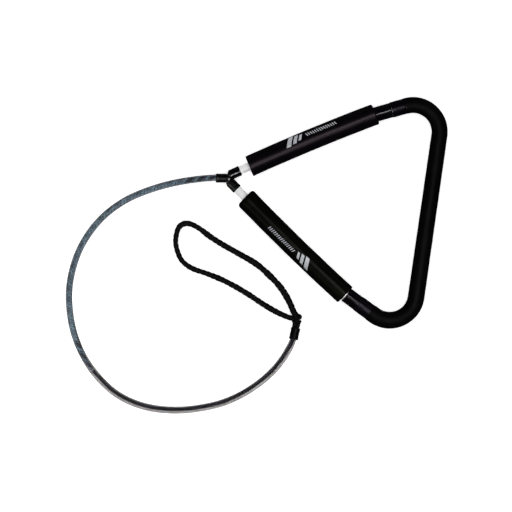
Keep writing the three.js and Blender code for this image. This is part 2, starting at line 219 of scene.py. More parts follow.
# ------------------------------------------------------------------ camera, the photograph's own view
CENTRE = Vector((-0.1000, -0.1050, 0.0))
camera = bpy.data.objects.new("camera", bpy.data.cameras.new("camera"))
bpy.context.scene.collection.objects.link(camera)
bpy.context.scene.camera = camera
camera.data.sensor_width = 36
DISTANCE = 3.4
camera.data.lens = 36 * (DISTANCE - 0.014) / 0.8448
camera.data.clip_end = 60
turn = math.atan2(0.1423, 0.9898)
camera.rotation_euler = (0, 0, turn)
camera.location = CENTRE + Vector((0, 0, DISTANCE))

# ------------------------------------------------------------------ floor, light
floor_mesh = bpy.data.meshes.new("floor")
W = 24
floor_mesh.from_pydata([(-W, -W, 0), (W, -W, 0), (W, W, 0), (-W, W, 0)], [], [(0, 1, 2, 3)])
floor = bpy.data.objects.new("floor", floor_mesh)
floor.location = (0, 0, -0.0004)
bpy.context.scene.collection.objects.link(floor)
floor.visible_glossy = False
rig.stage(floor)


def area(name, place, aim, size, power, color=(1, 1, 1), glossy=True, diffuse=True, size_y=None, long_way=None):
    """An area light at a place in the row frame. long_way turns its longer side along a direction."""
    data = bpy.data.lights.new(name, "AREA")
    data.energy, data.size, data.color = power, size, color
    if size_y:
        data.shape, data.size_y = "RECTANGLE", size_y
    ob = bpy.data.objects.new(name, data)
    ob.location = Vector(place)
    back = (Vector(place) - Vector(aim)).normalized()
    if long_way is None:
        ob.rotation_euler = (-back).to_track_quat("-Z", "Y").to_euler()
    else:
        x = Vector(long_way)
        x = (x - back * x.dot(back)).normalized()
        ob.rotation_euler = Matrix((x, back.cross(x), back)).transposed().to_euler()
    ob.visible_glossy, ob.visible_diffuse, ob.visible_camera = glossy, diffuse, False
    bpy.context.scene.collection.objects.link(ob)
    return ob


UP_ARM, DOWN_ARM = Vector((0.860, 0.511, 0)), Vector((0.809, -0.588, 0))
area("soft_top", (-0.10, -0.10, 2.6), (-0.10, -0.10, 0), 3.6, 84, glossy=False)
area("strip_over_handle", tuple(UP_ARM * 0.26 + Vector((0.511, -0.860, 0)) * 0.10 + Vector((0, 0, 2.0))), (-0.02, 0.08, 0), 0.40, 44, color=(1.0, 0.95, 1.0), diffuse=False, size_y=0.075, long_way=UP_ARM)
area("strip_front", (0.268, -0.838, 2.0), (-0.16, 0.02, 0), 0.36, 40, diffuse=False, size_y=0.07, long_way=UP_ARM)
area("strip_left", (-1.02, -1.36, 1.42), (-0.02, -0.10, 0), 0.95, 20, color=(1.0, 0.98, 0.80), diffuse=False, size_y=0.07, long_way=(0.907, 0.42, 0))
area("strip_long", (0.285, -0.435, 2.0), (-0.34, -0.07, 0), 1.3, 24, diffuse=False, size_y=0.04, long_way=(0.5, 0.866, 0))
area("far_side", (1.6, 1.4, 1.0), (0.05, 0.05, 0), 0.7, 10, color=(1.0, 0.84, 0.80), diffuse=False)

world = bpy.data.worlds.new("studio")
bpy.context.scene.world = world
world.use_nodes = True
wt = world.node_tree
wt.nodes.clear()
w_out, w_bg = wt.nodes.new("ShaderNodeOutputWorld"), wt.nodes.new("ShaderNodeBackground")
w_tc, w_sep, w_ramp = (wt.nodes.new(t) for t in ("ShaderNodeTexCoord", "ShaderNodeSeparateXYZ", "ShaderNodeValToRGB"))
wt.links.new(w_tc.outputs["Generated"], w_sep.inputs[0])
w_half = wt.nodes.new("ShaderNodeMath")
w_half.operation = "MULTIPLY_ADD"
w_half.inputs[1].default_value, w_half.inputs[2].default_value = 0.5, 0.5
wt.links.new(w_sep.outputs["Z"], w_half.inputs[0])
wt.links.new(w_half.outputs[0], w_ramp.inputs[0])
wt.links.new(w_ramp.outputs[0], w_bg.inputs["Color"])
wt.links.new(w_bg.outputs[0], w_out.inputs[0])
e = w_ramp.color_ramp.elements
e[0].position, e[0].color = 0.43, (0.03, 0.03, 0.03, 1)
e[1].position, e[1].color = 0.775, (0.012, 0.012, 0.014, 1)
for at_, c_ in ((0.455, 0.80), (0.505, 0.80), (0.53, 0.50), (0.57, 0.10)):
    mid = e.new(at_)
    mid.color = (c_, c_, c_ * 1.02, 1)
w_bg.inputs["Strength"].default_value = 1.0
bpy.context.scene.view_settings.view_transform = "Standard"


# ------------------------------------------------------------------ routes
def catmull(points, per=40):
    """Centripetal Catmull-Rom curve through the points, densely sampled."""
    p = np.array(points, float)
    q = np.vstack([2 * p[0] - p[1], p, 2 * p[-1] - p[-2]])
    out = []
    u = np.linspace(0, 1, per, endpoint=False)[:, None]
    for i in range(len(p) - 1):
        p0, p1, p2, p3 = q[i : i + 4]
        d0, d1, d2 = (max(float(np.sum((b - a) ** 2)) ** 0.25, 1e-6) for a, b in ((p0, p1), (p1, p2), (p2, p3)))
        t1 = ((p1 - p0) / d0 - (p2 - p0) / (d0 + d1) + (p2 - p1) / d1) * d1
        t2 = ((p2 - p1) / d1 - (p3 - p1) / (d1 + d2) + (p3 - p2) / d2) * d1
        out.append(p1 + t1 * u + (-3 * p1 + 3 * p2 - 2 * t1 - t2) * u**2 + (2 * p1 - 2 * p2 + t1 + t2) * u**3)
    return np.vstack([*out, p[-1:]])


class Route:
    """A centreline in metres, in equal short steps, with level frames: up and side at every step."""

    def __init__(self, points, step=0.0005, soften=0.0, twist=0.0):
        p = np.array(points, float)
        d = np.concatenate([[0], np.cumsum(np.linalg.norm(np.diff(p, axis=0), axis=1))])
        count = max(4, int(round(d[-1] / step)))
        s = np.linspace(0, d[-1], count + 1)
        p = np.stack([np.interp(s, d, p[:, k]) for k in range(3)], 1)
        if soften:
            w = int(3 * soften / step)
            w = min(w, len(p) - 2)
            kernel = np.exp(-0.5 * (np.arange(-w, w + 1) * step / soften) ** 2)
            kernel /= kernel.sum()
            head, tail = 2 * p[0] - p[w:0:-1], 2 * p[-1] - p[-2 : -w - 2 : -1]
            long = np.vstack([head, p, tail])
            p = np.stack([np.convolve(long[:, k], kernel, "valid") for k in range(3)], 1)
            d = np.concatenate([[0], np.cumsum(np.linalg.norm(np.diff(p, axis=0), axis=1))])
            s = np.linspace(0, d[-1], len(p))
            p = np.stack([np.interp(s, d, p[:, k]) for k in range(3)], 1)
        t = np.gradient(p, axis=0)
        t /= np.linalg.norm(t, axis=1)[:, None]
        self.s, self.p, self.t = s, p, t
        self.length = float(s[-1])
        self.level()

    def level(self):
        side = np.cross((0, 0, 1), self.t)
        side /= np.linalg.norm(side, axis=1)[:, None]
        self.side, self.up = side, np.cross(self.t, side)

    def carried(self):
        """Frames carried along without twist, for a route that turns over itself."""
        up = np.zeros_like(self.t)
        u = np.array((0, 0, 1.0))
        if abs(self.t[0] @ u) > 0.9:
            u = np.array((1.0, 0, 0))
        for i, t in enumerate(self.t):
            u = u - t * (u @ t)
            u /= np.linalg.norm(u)
            up[i] = u
        self.up, self.side = up, np.cross(up, self.t)
        return self

    def at(self, s):
        s = np.asarray(s, float)
        inside = np.clip(s, 0, self.length)
        get = lambda a: np.stack([np.interp(inside, self.s, a[:, k]) for k in range(3)], -1)
        p, up, side, t = get(self.p), get(self.up), get(self.side), get(self.t)
        p = p + t * (s - inside)[..., None]
        return p, up / np.linalg.norm(up, axis=-1, keepdims=True), side / np.linalg.norm(side, axis=-1, keepdims=True)

    def moved(self, side=0.0, up=0.0):
        """The same route set off sideways or upwards, by numbers or arrays along it."""
        r = Route.__new__(Route)
        p = self.p + self.side * np.broadcast_to(side, len(self.p))[:, None] + self.up * np.broadcast_to(up, len(self.p))[:, None]
        Route.__init__(r, p, step=self.s[1] - self.s[0])
        return r

    def part(self, a, b):
        keep = (self.s >= a) & (self.s <= b)
        return Route(self.p[keep], step=self.s[1] - self.s[0])


# ------------------------------------------------------------------ meshes
def mesh_object(name, verts, faces, uvs=None, attrs=None, smooth=True):
    me = bpy.data.meshes.new(name)
    me.from_pydata(verts if isinstance(verts, list) else verts.tolist(), [], faces if isinstance(faces, list) else faces.tolist())
    if uvs is not None:
        layer = me.uv_layers.new(name="along")
        layer.data.foreach_set("uv", np.asarray(uvs, np.float32).ravel())
    for key, values in (attrs or {}).items():
        a = me.attributes.new(key, "FLOAT", "POINT")
        a.data.foreach_set("value", np.asarray(values, np.float32).ravel())
    me.validate()
    # outward faces: the signed volume is positive
    me.calc_loop_triangles()
    n = len(me.loop_triangles)
    tri = np.zeros(n * 3, np.int32)
    me.loop_triangles.foreach_get("vertices", tri)
    co = np.zeros(len(me.vertices) * 3)
    me.vertices.foreach_get("co", co)
    co = co.reshape(-1, 3)
    a, b, c = (co[tri.reshape(-1, 3)[:, k]] for k in range(3))
    if np.einsum("ij,ij->i", a, np.cross(b, c)).sum() < 0:
        me.flip_normals()
    if smooth:
        me.polygons.foreach_set("use_smooth", np.ones(len(me.polygons), bool))
    me.update()
    ob = bpy.data.objects.new(name, me)
    bpy.context.scene.collection.objects.link(ob)
    return ob


def swept(name, route, s, r, n, ring=True, radius=None, centre=None, attrs=None):
    """A profile of places along the route (s) and radii (r), carried round the route in n steps.
    radius(s, th, r) changes the radius, centre(s) sets the middle off: (side, up) in metres."""
    s, r = np.asarray(s, float), np.asarray(r, float)
    m = len(s)
    p, up, side = route.at(s)
    if centre is not None:
        cs, cu = centre(s)
        p = p + side * np.broadcast_to(cs, m)[:, None] + up * np.broadcast_to(cu, m)[:, None]
    th = np.arange(n) * 2 * np.pi / n
    rad = np.broadcast_to(r[:, None], (m, n)).copy()
    if radius is not None:
        rad = radius(s[:, None], th[None, :], rad)
    v = p[:, None, :] + rad[..., None] * (np.cos(th)[None, :, None] * up[:, None, :] + np.sin(th)[None, :, None] * side[:, None, :])
    verts = v.reshape(-1, 3)
    rows = m if ring else m - 1
    i, j = np.meshgrid(np.arange(rows), np.arange(n), indexing="ij")
    i2, j2 = (i + 1) % m, (j + 1) % n
    quads = np.stack([i * n + j, i * n + j2, i2 * n + j2, i2 * n + j], -1).reshape(-1, 4)
    su = np.concatenate([s, s[:1]])
    us = np.stack([su[i], su[i], su[i + 1], su[i + 1]], -1)
    vs = np.stack([j / n, (j + 1) / n, (j + 1) / n, j / n], -1)
    uv = np.stack([us, vs], -1).reshape(-1, 2)
    faces = quads.tolist()
    attr = {k: np.broadcast_to(np.asarray(a, float).reshape(m, -1), (m, n)).ravel() for k, a in (attrs or {}).items()}
    if not ring:
        a, b = len(verts), len(verts) + 1
        verts = np.vstack([verts, v[0].mean(0), v[-1].mean(0)])
        faces += [[a, (k + 1) % n, k] for k in range(n)]
        base = (m - 1) * n
        faces += [[b, base + k, base + (k + 1) % n] for k in range(n)]
        uv = np.vstack([uv, np.tile([[s[0], 0.5]], (3 * n, 1)), np.tile([[s[-1], 0.5]], (3 * n, 1))])
        attr = {k: np.concatenate([a_, a_[:1], a_[-1:]]) for k, a_ in attr.items()}
    return mesh_object(name, verts, faces, uv, attr)


def sleeve(s0, s1, ro, ri, lip=0.6, lip_b=None, step=2.0, inner=None):
    """Closed profile of a sleeve in millimetres along a route: outside, rounded lip, bore, rounded lip.
    ro and ri are numbers or functions of s. Gives s, r (metres), outside (1 on the outside wall) and edge (1 on a lip)."""
    f = ro if callable(ro) else (lambda x: ro + 0 * x)
    g = ri if callable(ri) else (lambda x: ri + 0 * x)
    la, lb = lip, lip if lip_b is None else lip_b
    rows = []  # s, r, outside, edge
    quarter = np.linspace(0, np.pi / 2, 7)
    for a in quarter:
        rows.append((s0 + la - la * np.cos(a), f(s0 + la) - la + la * np.sin(a), 0.2 + 0.8 * np.sin(a), 1 - 0.3 * a))
    count = max(2, int(round((s1 - lb - s0 - la) / step)))
    for x in np.linspace(s0 + la, s1 - lb, count + 1)[1:-1]:
        rows.append((x, f(x), 1, max(0.0, 0.5 - min(x - s0 - la, s1 - lb - x) / 4)))
    for a in quarter[::-1]:
        rows.append((s1 - lb + lb * np.cos(a), f(s1 - lb) - lb + lb * np.sin(a), 0.2 + 0.8 * np.sin(a), 1 - 0.3 * a))
    wi = min(0.5, (f(s1) - g(s1)) * 0.3)
    for a in quarter[::2]:
        rows.append((s1 - wi * np.sin(a), g(s1) + wi * (1 - np.sin(a)), 0, 0.6))
    if inner is None:
        inner = np.linspace(s1 - wi, s0 + wi, max(2, int(round((s1 - s0) / (2 * step)))) + 1)[1:-1]
    for x in inner:
        rows.append((x, g(x), 0, 0))
    for a in quarter[::-2]:
        rows.append((s0 + wi * np.sin(a), g(s0) + wi * (1 - np.sin(a)), 0, 0.6))
    rows = np.array(rows, float)
    return rows[:, 0] / 1000, rows[:, 1] / 1000, rows[:, 2], rows[:, 3]


def rod(s0, s1, r, lip=0.6, step=2.0):
    """Profile of a solid rod with rounded ends, in millimetres."""
    f = r if callable(r) else (lambda x: r + 0 * x)
    a = np.linspace(0, np.pi / 2, 6)
    s = np.concatenate([s0 + lip - lip * np.cos(a), np.linspace(s0 + lip, s1 - lip, max(2, int((s1 - s0 - 2 * lip) / step)) + 1)[1:-1], s1 - lip + lip * np.cos(a[::-1])])
    q = np.concatenate([f(s0 + lip) - lip + lip * np.sin(a), [float(f(x)) for x in s[6:-6]], f(s1 - lip) - lip + lip * np.sin(a[::-1])])
    return s / 1000, q / 1000


def braid(s, th, carriers, pitch, turn=0.0):
    """Height of a braided cover, 0 to 1, with which strand is on top: (height, family, strand, along, across)."""
    n = carriers
    a = n * (th / (2 * np.pi) + turn + s / pitch)
    b = n * (th / (2 * np.pi) + turn - s / pitch)
    ia, ib = np.floor(a), np.floor(b)
    ca, cb = 2 * (a - ia) - 1, 2 * (b - ib) - 1
    wa = np.sin(np.pi * b) * np.where(ia % 2 == 0, 1, -1)
    wb = -np.sin(np.pi * a) * np.where(ib % 2 == 0, 1, -1)
    ha = 0.62 * np.sqrt(np.clip(1 - (0.98 * ca) ** 2, 0, 1)) + 0.38 * wa
    hb = 0.62 * np.sqrt(np.clip(1 - (0.98 * cb) ** 2, 0, 1)) + 0.38 * wb
    top = ha >= hb
    return np.where(top, ha, hb), np.where(top, 0, 1), np.where(top, ia % n, ib % n), np.where(top, b, a), np.where(top, ca, cb)


def rope(name, route, s0, s1, radius, carriers, pitch, depth, n, ds, paint=None, ends=2.5, wobble=0.0, seed=0.0, lump=0.0):
    """A braided rope: one closed skin whose strands stand out by depth. radius in metres, a number or a function of s."""
    count = int(round((s1 - s0) / ds))
    s = np.linspace(s0, s1, count + 1)
    r = np.array([radius(x) for x in s]) if callable(radius) else np.full(len(s), radius)
    # worked ends: the rope closes over its last millimetres
    close = np.clip(np.minimum(s - s0, s1 - s) / (ends / 1000), 0, 1)
    close = np.sqrt(1 - (1 - close) ** 2) * 0.98 + 0.02
    th = np.arange(n) * 2 * np.pi / n
    S, T = np.meshgrid(s, th, indexing="ij")
    h, fam, idx, along, across = braid(S, T, carriers, pitch)
    crowns = np.cos(2 * np.pi * carriers * S / pitch) * np.cos(carriers * T)
    rad = (r[:, None] - depth + depth * np.clip(h, 0, 1) + lump * crowns) * close[:, None]
    if wobble:
        w = np.array([noise.noise(Vector((x * 60, seed, 0))) for x in s])
        o = np.array([noise.noise(Vector((x * 45, seed + 9, 3))) for x in s])
        rad = rad * (1 + wobble * w[:, None] + 0.8 * wobble * o[:, None] * np.cos(2 * T))
    ob = swept(name, route, s, np.ones(len(s)), n, ring=False, radius=lambda *_: rad)
    rng = np.random.default_rng(7 + int(seed * 10))
    table = rng.uniform(-1, 1, (2, carriers))
    tone = 0.5 + 0.18 * table[fam.astype(int), idx.astype(int)]
    # strand height, kept as the mask for painted shade: the rope's colour is darkened where it is low, in the grooves
    # between strands
    groove_shade_mask = np.clip(h, 0, 1)
    fib = 0.5 + 0.5 * np.sin(across * 9 + 3 * np.sin(along * 2.1))
    values = {"tone": tone + 0.12 * (fib - 0.5), "groove_shade_mask": groove_shade_mask, "across": across}
    if paint is not None:
        values["mark"] = paint(S, T, fam, idx, h)
    me = ob.data
    for key, val in values.items():
        at = me.attributes.new(key, "FLOAT", "POINT")
        flat = np.concatenate([val.ravel(), [0.5, 0.5]]).astype(np.float32)
        at.data.foreach_set("value", flat)
    return ob


def surface_nets(field, lo, hi, cell):
    """Closed mesh of field(points) = 0 inside a box, in the field's own units, then settled onto the surface."""
    dims = [int(math.ceil((b - a) / cell)) + 1 for a, b in zip(lo, hi)]
    ax = [lo[k] + cell * np.arange(dims[k]) for k in range(3)]
    g = np.stack(np.meshgrid(*ax, indexing="ij"), -1)
    f = field(g.reshape(-1, 3)).reshape(dims)
    inside = f < 0
    corners = [(i, j, k) for i in (0, 1) for j in (0, 1) for k in (0, 1)]
    cells = tuple(d - 1 for d in dims)
    part = lambda c: inside[c[0] : c[0] + cells[0], c[1] : c[1] + cells[1], c[2] : c[2] + cells[2]]
    total = sum(part(c).astype(np.int8) for c in corners)
    active = (total > 0) & (total < 8)
    index = -np.ones(cells, np.int64)
    index[active] = np.arange(active.sum())
    at = np.argwhere(active)
    acc, cnt = np.zeros((len(at), 3)), np.zeros(len(at))
    for c0 in corners:
        for axis in range(3):
            if c0[axis] == 0:
                c1 = list(c0)
                c1[axis] = 1
                i0, i1 = at + np.array(c0), at + np.array(c1)
                f0, f1 = f[tuple(i0.T)], f[tuple(i1.T)]
                hit = (f0 < 0) != (f1 < 0)
                t = np.where(hit, f0 / np.where(hit, f0 - f1, 1), 0)
                q = i0 + t[:, None] * (i1 - i0)
                acc += np.where(hit[:, None], q, 0)
                cnt += hit
    v = np.array(lo) + cell * acc / cnt[:, None]
    faces = []
    for axis in range(3):
        o = [k for k in range(3) if k != axis]
        s0 = [slice(1, -1)] * 3
        s0[axis] = slice(0, -1)
        s1 = [slice(1, -1)] * 3
        s1[axis] = slice(1, None)
        change = inside[tuple(s0)] != inside[tuple(s1)]
        for e_ in np.argwhere(change):
            base = e_.copy()
            for k in o:
                base[k] += 1
            q = []
            for d0, d1 in ((-1, -1), (0, -1), (0, 0), (-1, 0)):
                c = base.copy()
                c[o[0]] += d0
                c[o[1]] += d1
                q.append(int(index[tuple(c)]))
            if min(q) < 0:
                continue
            flip = inside[tuple(base)] != (axis == 1)
            faces.append(q if flip else q[::-1])
    h = cell * 0.02
    for _ in range(6):
        d = field(v)
        grad = np.stack([(field(v + h * np.eye(3)[k]) - field(v - h * np.eye(3)[k])) / (2 * h) for k in range(3)], 1)
        norm = np.maximum(np.linalg.norm(grad, axis=1), 0.3)
        v = v - np.clip(d, -cell, cell)[:, None] * grad / (norm**2)[:, None] * 0.8
    return v, faces


# ------------------------------------------------------------------ looks
class Look:
    """A Principled material whose colour, roughness and relief come from its nodes."""

    def __init__(self, name, slot, **values):
        self.slot = slot
        self.m = bpy.data.materials.new(name)
        self.m.use_nodes = True
        self.t = self.m.node_tree
        self.t.nodes.clear()
        self.out = self.node("ShaderNodeOutputMaterial")
        self.b = self.node("ShaderNodeBsdfPrincipled")
        self.t.links.new(self.b.outputs[0], self.out.inputs[0])
        for k, v in values.items():
            self.b.inputs[k.replace("_", " ")].default_value = v

    def put(self, socket, value):
        if isinstance(value, bpy.types.NodeSocket):
            self.t.links.new(value, socket)
        elif value is not None:
            socket.default_value = value

    def node(self, kind, inputs=None, **props):
        n = self.t.nodes.new(kind)
        for k, v in props.items():
            setattr(n, k, v)
        for k, v in (inputs or {}).items():
            self.put(n.inputs[k], v)
        return n

    def place(self):
        return self.node("ShaderNodeTexCoord").outputs["Object"]

    def along(self):
        return self.node("ShaderNodeUVMap", uv_map="along").outputs["UV"]

    def attr(self, name):
        return self.node("ShaderNodeAttribute", attribute_name=name).outputs["Fac"]

    def stretch(self, vec, x, y, z):
        return self.node("ShaderNodeMapping", {"Vector": vec, "Scale": (x, y, z)}).outputs[0]

    def noise(self, scale, detail=3.0, rough=0.55, vec=None):
        return self.node("ShaderNodeTexNoise", {"Vector": vec or self.place(), "Scale": scale, "Detail": detail, "Roughness": rough}).outputs["Fac"]

    def math(self, op, a, b=None, clamp=False):
        n = self.node("ShaderNodeMath", operation=op, use_clamp=clamp)
        self.put(n.inputs[0], a)
        if b is not None:
            self.put(n.inputs[1], b)
        return n.outputs[0]

    def span(self, fac, lo, hi, a=0.3, b=0.7):
        return self.node("ShaderNodeMapRange", {"Value": fac, "From Min": a, "From Max": b, "To Min": lo, "To Max": hi}).outputs[0]

    def mix(self, fac, a, b):
        n = self.node("ShaderNodeMix", data_type="RGBA")
        self.put(n.inputs["Factor"], fac)
        for sock, val in ((n.inputs[6], a), (n.inputs[7], b)):
            self.put(sock, (*val, 1.0) if isinstance(val, tuple) and len(val) == 3 else val)
        return n.outputs[2]

    def relief(self, *layers):
        """layers: (height, strength, distance in metres)."""
        normal = None
        for height, strength, distance in layers:
            n = self.node("ShaderNodeBump", {"Strength": strength, "Distance": distance, "Height": height})
            if normal is not None:
                self.t.links.new(normal, n.inputs["Normal"])
            normal = n.outputs[0]
        self.t.links.new(normal, self.b.inputs["Normal"])

    def colour(self, value):
        self.put(self.b.inputs["Base Color"], value)

    def rough(self, value):
        self.put(self.b.inputs["Roughness"], value)


def foam(name, tint, low, high, level):
    k = Look(name, "float_foam", Specular_IOR_Level=level, Specular_Tint=tint)
    k.colour(k.mix(k.span(k.noise(38, 4), 0, 1), low, high))
    k.rough(k.span(k.noise(160, 3), 0.31, 0.37))
    k.relief((k.noise(110, 2), 0.22, 0.0005), (k.noise(1500, 2, 0.6), 0.20, 0.00008))
    return k


def grip_rubber():
    k = Look("grip_rubber", "grip_rubber", Specular_IOR_Level=0.011)
    uv = k.node("ShaderNodeSeparateXYZ", {"Vector": k.along()})
    u, v = k.math("MULTIPLY", uv.outputs[0], 1 / 0.0026), k.math("MULTIPLY", uv.outputs[1], 34.0)
    a = k.math("SINE", k.math("MULTIPLY", k.math("ADD", u, v), math.pi))
    b = k.math("SINE", k.math("MULTIPLY", k.math("SUBTRACT", u, v), math.pi))
    knurl = k.math("POWER", k.math("ABSOLUTE", k.math("MULTIPLY", a, b)), 0.6)
    worn = k.span(k.noise(26, 4), 0, 1)
    k.colour(k.mix(worn, (0.0007, 0.0005, 0.0006), (0.0021, 0.0018, 0.0019)))
    k.rough(k.math("ADD", k.span(k.noise(90, 3), 0.46, 0.58), k.math("MULTIPLY", knurl, -0.08)))
    k.relief((k.noise(60, 2), 0.25, 0.0008), (knurl, 0.55, 0.00022), (k.noise(2600, 1), 0.15, 0.00006))
    return k


def band():
    k = Look("shrink_band", "grip_band_shrink", Specular_IOR_Level=0.026, Specular_Tint=(0.88, 0.80, 1.0, 1))
    fine = k.noise(1.0, 3, 0.6, k.stretch(k.along(), 90, 26, 1))
    k.colour(k.mix(k.span(k.noise(60, 3), 0, 1), (0.0008, 0.0006, 0.0016), (0.0020, 0.0016, 0.0034)))
    k.rough(k.span(fine, 0.28, 0.40))
    k.relief((fine, 0.3, 0.0003), (k.noise(900, 2), 0.12, 0.00008))
    return k


def gloss_cover(name, level):
    k = Look(name, "tube_cover_gloss", Specular_IOR_Level=level)
    scuff = k.noise(1.0, 5, 0.65, k.stretch(k.along(), 60, 90, 1))
    k.colour(k.mix(k.span(k.noise(45, 3), 0, 1), (0.0010, 0.0007, 0.0016), (0.0026, 0.0020, 0.0038)))
    k.rough(k.span(scuff, 0.12, 0.19))
    k.relief((k.noise(120, 2), 0.06, 0.0002), (scuff, 0.05, 0.00003))
    return k


def moulded():
    k = Look("moulded_black", "y_moulding", Specular_IOR_Level=0.10)
    k.colour(k.mix(k.span(k.noise(90, 3), 0, 1), (0.0006, 0.0006, 0.0009), (0.0016, 0.0015, 0.0022)))
    k.rough(k.span(k.noise(400, 4, 0.65), 0.13, 0.20))
    k.relief((k.noise(200, 2), 0.06, 0.0002), (k.noise(3000, 2), 0.06, 0.00003))
    return k


def lead_white():
    k = Look("hose_white", "lead_hose_white", Specular_IOR_Level=0.06)
    k.b.inputs["Subsurface Weight"].default_value = 0.12
    k.b.inputs["Subsurface Radius"].default_value = (0.002, 0.002, 0.002)
    bands = k.noise(1.0, 3, 0.6, k.stretch(k.along(), 260, 5, 1))
    k.colour(k.mix(k.span(bands, 0, 1, 0.35, 0.7), (0.88, 0.89, 0.88), (0.99, 0.99, 0.99)))
    k.rough(k.span(k.noise(300, 3), 0.22, 0.34))
    k.relief((bands, 0.2, 0.0002), (k.noise(1600, 2), 0.08, 0.00005))
    return k


def clear_hose():
    """Clear hose with a fine net of pale grey yarn in its wall."""
    k = Look("hose_clear", "hose_clear", Specular_IOR_Level=0.06)
    k.b.inputs["IOR"].default_value = 1.46
    haze = k.noise(1.0, 4, 0.6, k.stretch(k.along(), 45, 7, 1))
    uv = k.node("ShaderNodeSeparateXYZ", {"Vector": k.along()})
    u, v = k.math("MULTIPLY", uv.outputs[0], 1 / 0.0042), k.math("MULTIPLY", uv.outputs[1], 7.0)
    outside = k.attr("skin")
    one = k.math("ABSOLUTE", k.math("SINE", k.math("MULTIPLY", k.math("ADD", u, v), math.pi)))
    two = k.math("ABSOLUTE", k.math("SINE", k.math("MULTIPLY", k.math("SUBTRACT", u, v), math.pi)))
    yarn = k.span(k.math("MINIMUM", one, two), 1, 0, 0.08, 0.22)
    yarn = k.math("MULTIPLY", yarn, outside)
    glass = k.mix(k.span(haze, 0, 1), (0.465, 0.455, 0.452), (0.605, 0.595, 0.588))
    k.colour(k.mix(yarn, glass, (0.040, 0.040, 0.046)))
    k.put(k.b.inputs["Transmission Weight"], k.math("SUBTRACT", 1.0, k.math("MULTIPLY", yarn, 0.75)))
    k.b.inputs["Specular Tint"].default_value = (0.02, 0.02, 0.02, 1)
    k.rough(k.span(haze, 0.08, 0.11))
    k.relief((haze, 0.05, 0.0001))
    clear = k.node("ShaderNodeBsdfTransparent", {"Color": (0.92, 0.92, 0.93, 1)})
    light = k.node("ShaderNodeLightPath")
    blend = k.node("ShaderNodeMixShader")
    k.t.links.new(light.outputs["Is Shadow Ray"], blend.inputs[0])
    k.t.links.new(k.b.outputs[0], blend.inputs[1])
    k.t.links.new(clear.outputs[0], blend.inputs[2])
    k.t.links.new(blend.outputs[0], k.out.inputs[0])
    return k


def rope_look(name, slot, dark, light, marked=None, sheen=0.25, contrast=1.0, gloss=0.3, threads=0.25):
    k = Look(name, slot, Specular_IOR_Level=gloss)
    k.b.inputs["Sheen Weight"].default_value = sheen
    k.b.inputs["Sheen Roughness"].default_value = 0.5
    tone = k.span(k.attr("tone"), 0, 1, 0.34, 0.66)
    fibres = k.math("SINE", k.math("MULTIPLY", k.attr("across"), 14.0))
    body = k.mix(k.math("MULTIPLY", tone, k.span(fibres, 1.0 - threads * 2, 1.0, -1, 1)), dark, light)
    # Painted shade: a darker tone of the rope's colour, which the grooves between strands fall to where shade would be;
    # random noise also mottles the colour towards it.
    groove_shade_and_mottle = tuple(c * (1 - 0.75 * contrast) for c in dark)
    # painted shade in the grooves between the strands
    body = k.mix(k.span(k.attr("groove_shade_mask"), 0, 1, 0.05, 0.6), groove_shade_and_mottle, body)
    if marked:
        body = k.mix(k.attr("mark"), body, marked)
    body = k.mix(k.span(k.noise(900, 3), 0, 0.35), body, groove_shade_and_mottle)
    k.colour(body)
    k.rough(k.span(k.noise(700, 3), 0.58, 0.78))
    k.relief((fibres, 0.25, 0.00012), (k.noise(2200, 2), 0.35, 0.00015))
    return k


def shrink_sleeve():
    k = Look("shrink_sleeve", "shrink_black", Specular_IOR_Level=0.022)
    fine = k.noise(1.0, 4, 0.6, k.stretch(k.along(), 160, 12, 1))
    k.colour(k.mix(k.span(fine, 0, 1), (0.0004, 0.0003, 0.0005), (0.0013, 0.0012, 0.0014)))
    k.rough(k.span(fine, 0.36, 0.52))
    k.relief((fine, 0.35, 0.0004), (k.noise(1200, 2), 0.12, 0.00008))
    return k


def aluminium():
    k = Look("aluminium", "tube_aluminium", Metallic=0.35, Specular_IOR_Level=0.2)
    brushed = k.noise(1.0, 4, 0.6, k.stretch(k.along(), 30, 160, 1))
    k.colour(k.mix(k.span(brushed, 0, 1), (0.66, 0.66, 0.68), (0.84, 0.84, 0.85)))
    k.rough(k.span(brushed, 0.46, 0.60))
    k.relief((brushed, 0.12, 0.0001))
    return k


def nylon():
    k = Look("bush_nylon", "bush_nylon", Specular_IOR_Level=0.4)
    k.colour(k.mix(k.span(k.noise(200, 3), 0, 1), (0.030, 0.030, 0.034), (0.055, 0.055, 0.06)))
    k.rough(k.span(k.noise(500, 3), 0.40, 0.56))
    k.relief((k.noise(700, 2), 0.15, 0.0002))
    return k


def ink():
    k = Look("float_print_ink", "float_foam", Specular_IOR_Level=0.3)
    worn = k.span(k.noise(700, 4, 0.7), 0, 1, 0.36, 0.56)
    k.colour(k.mix(worn, (0.24, 0.25, 0.27), (0.54, 0.56, 0.60)))
    k.rough(k.span(k.noise(500, 2), 0.40, 0.55))
    k.relief((k.noise(1500, 2), 0.2, 0.0001))
    return k


def pale_floor():
    """Pale floor of a light table: it glows a little, so shadows on it stay faint."""
    k = Look("pale_floor", "", Specular_IOR_Level=0.0)
    k.colour(k.mix(k.noise(3, 2), (0.90, 0.90, 0.90), (0.92, 0.92, 0.92)))
    k.rough(0.9)
    k.b.inputs["Emission Color"].default_value = (1, 1, 1, 1)
    k.b.inputs["Emission Strength"].default_value = 0.58
    return k


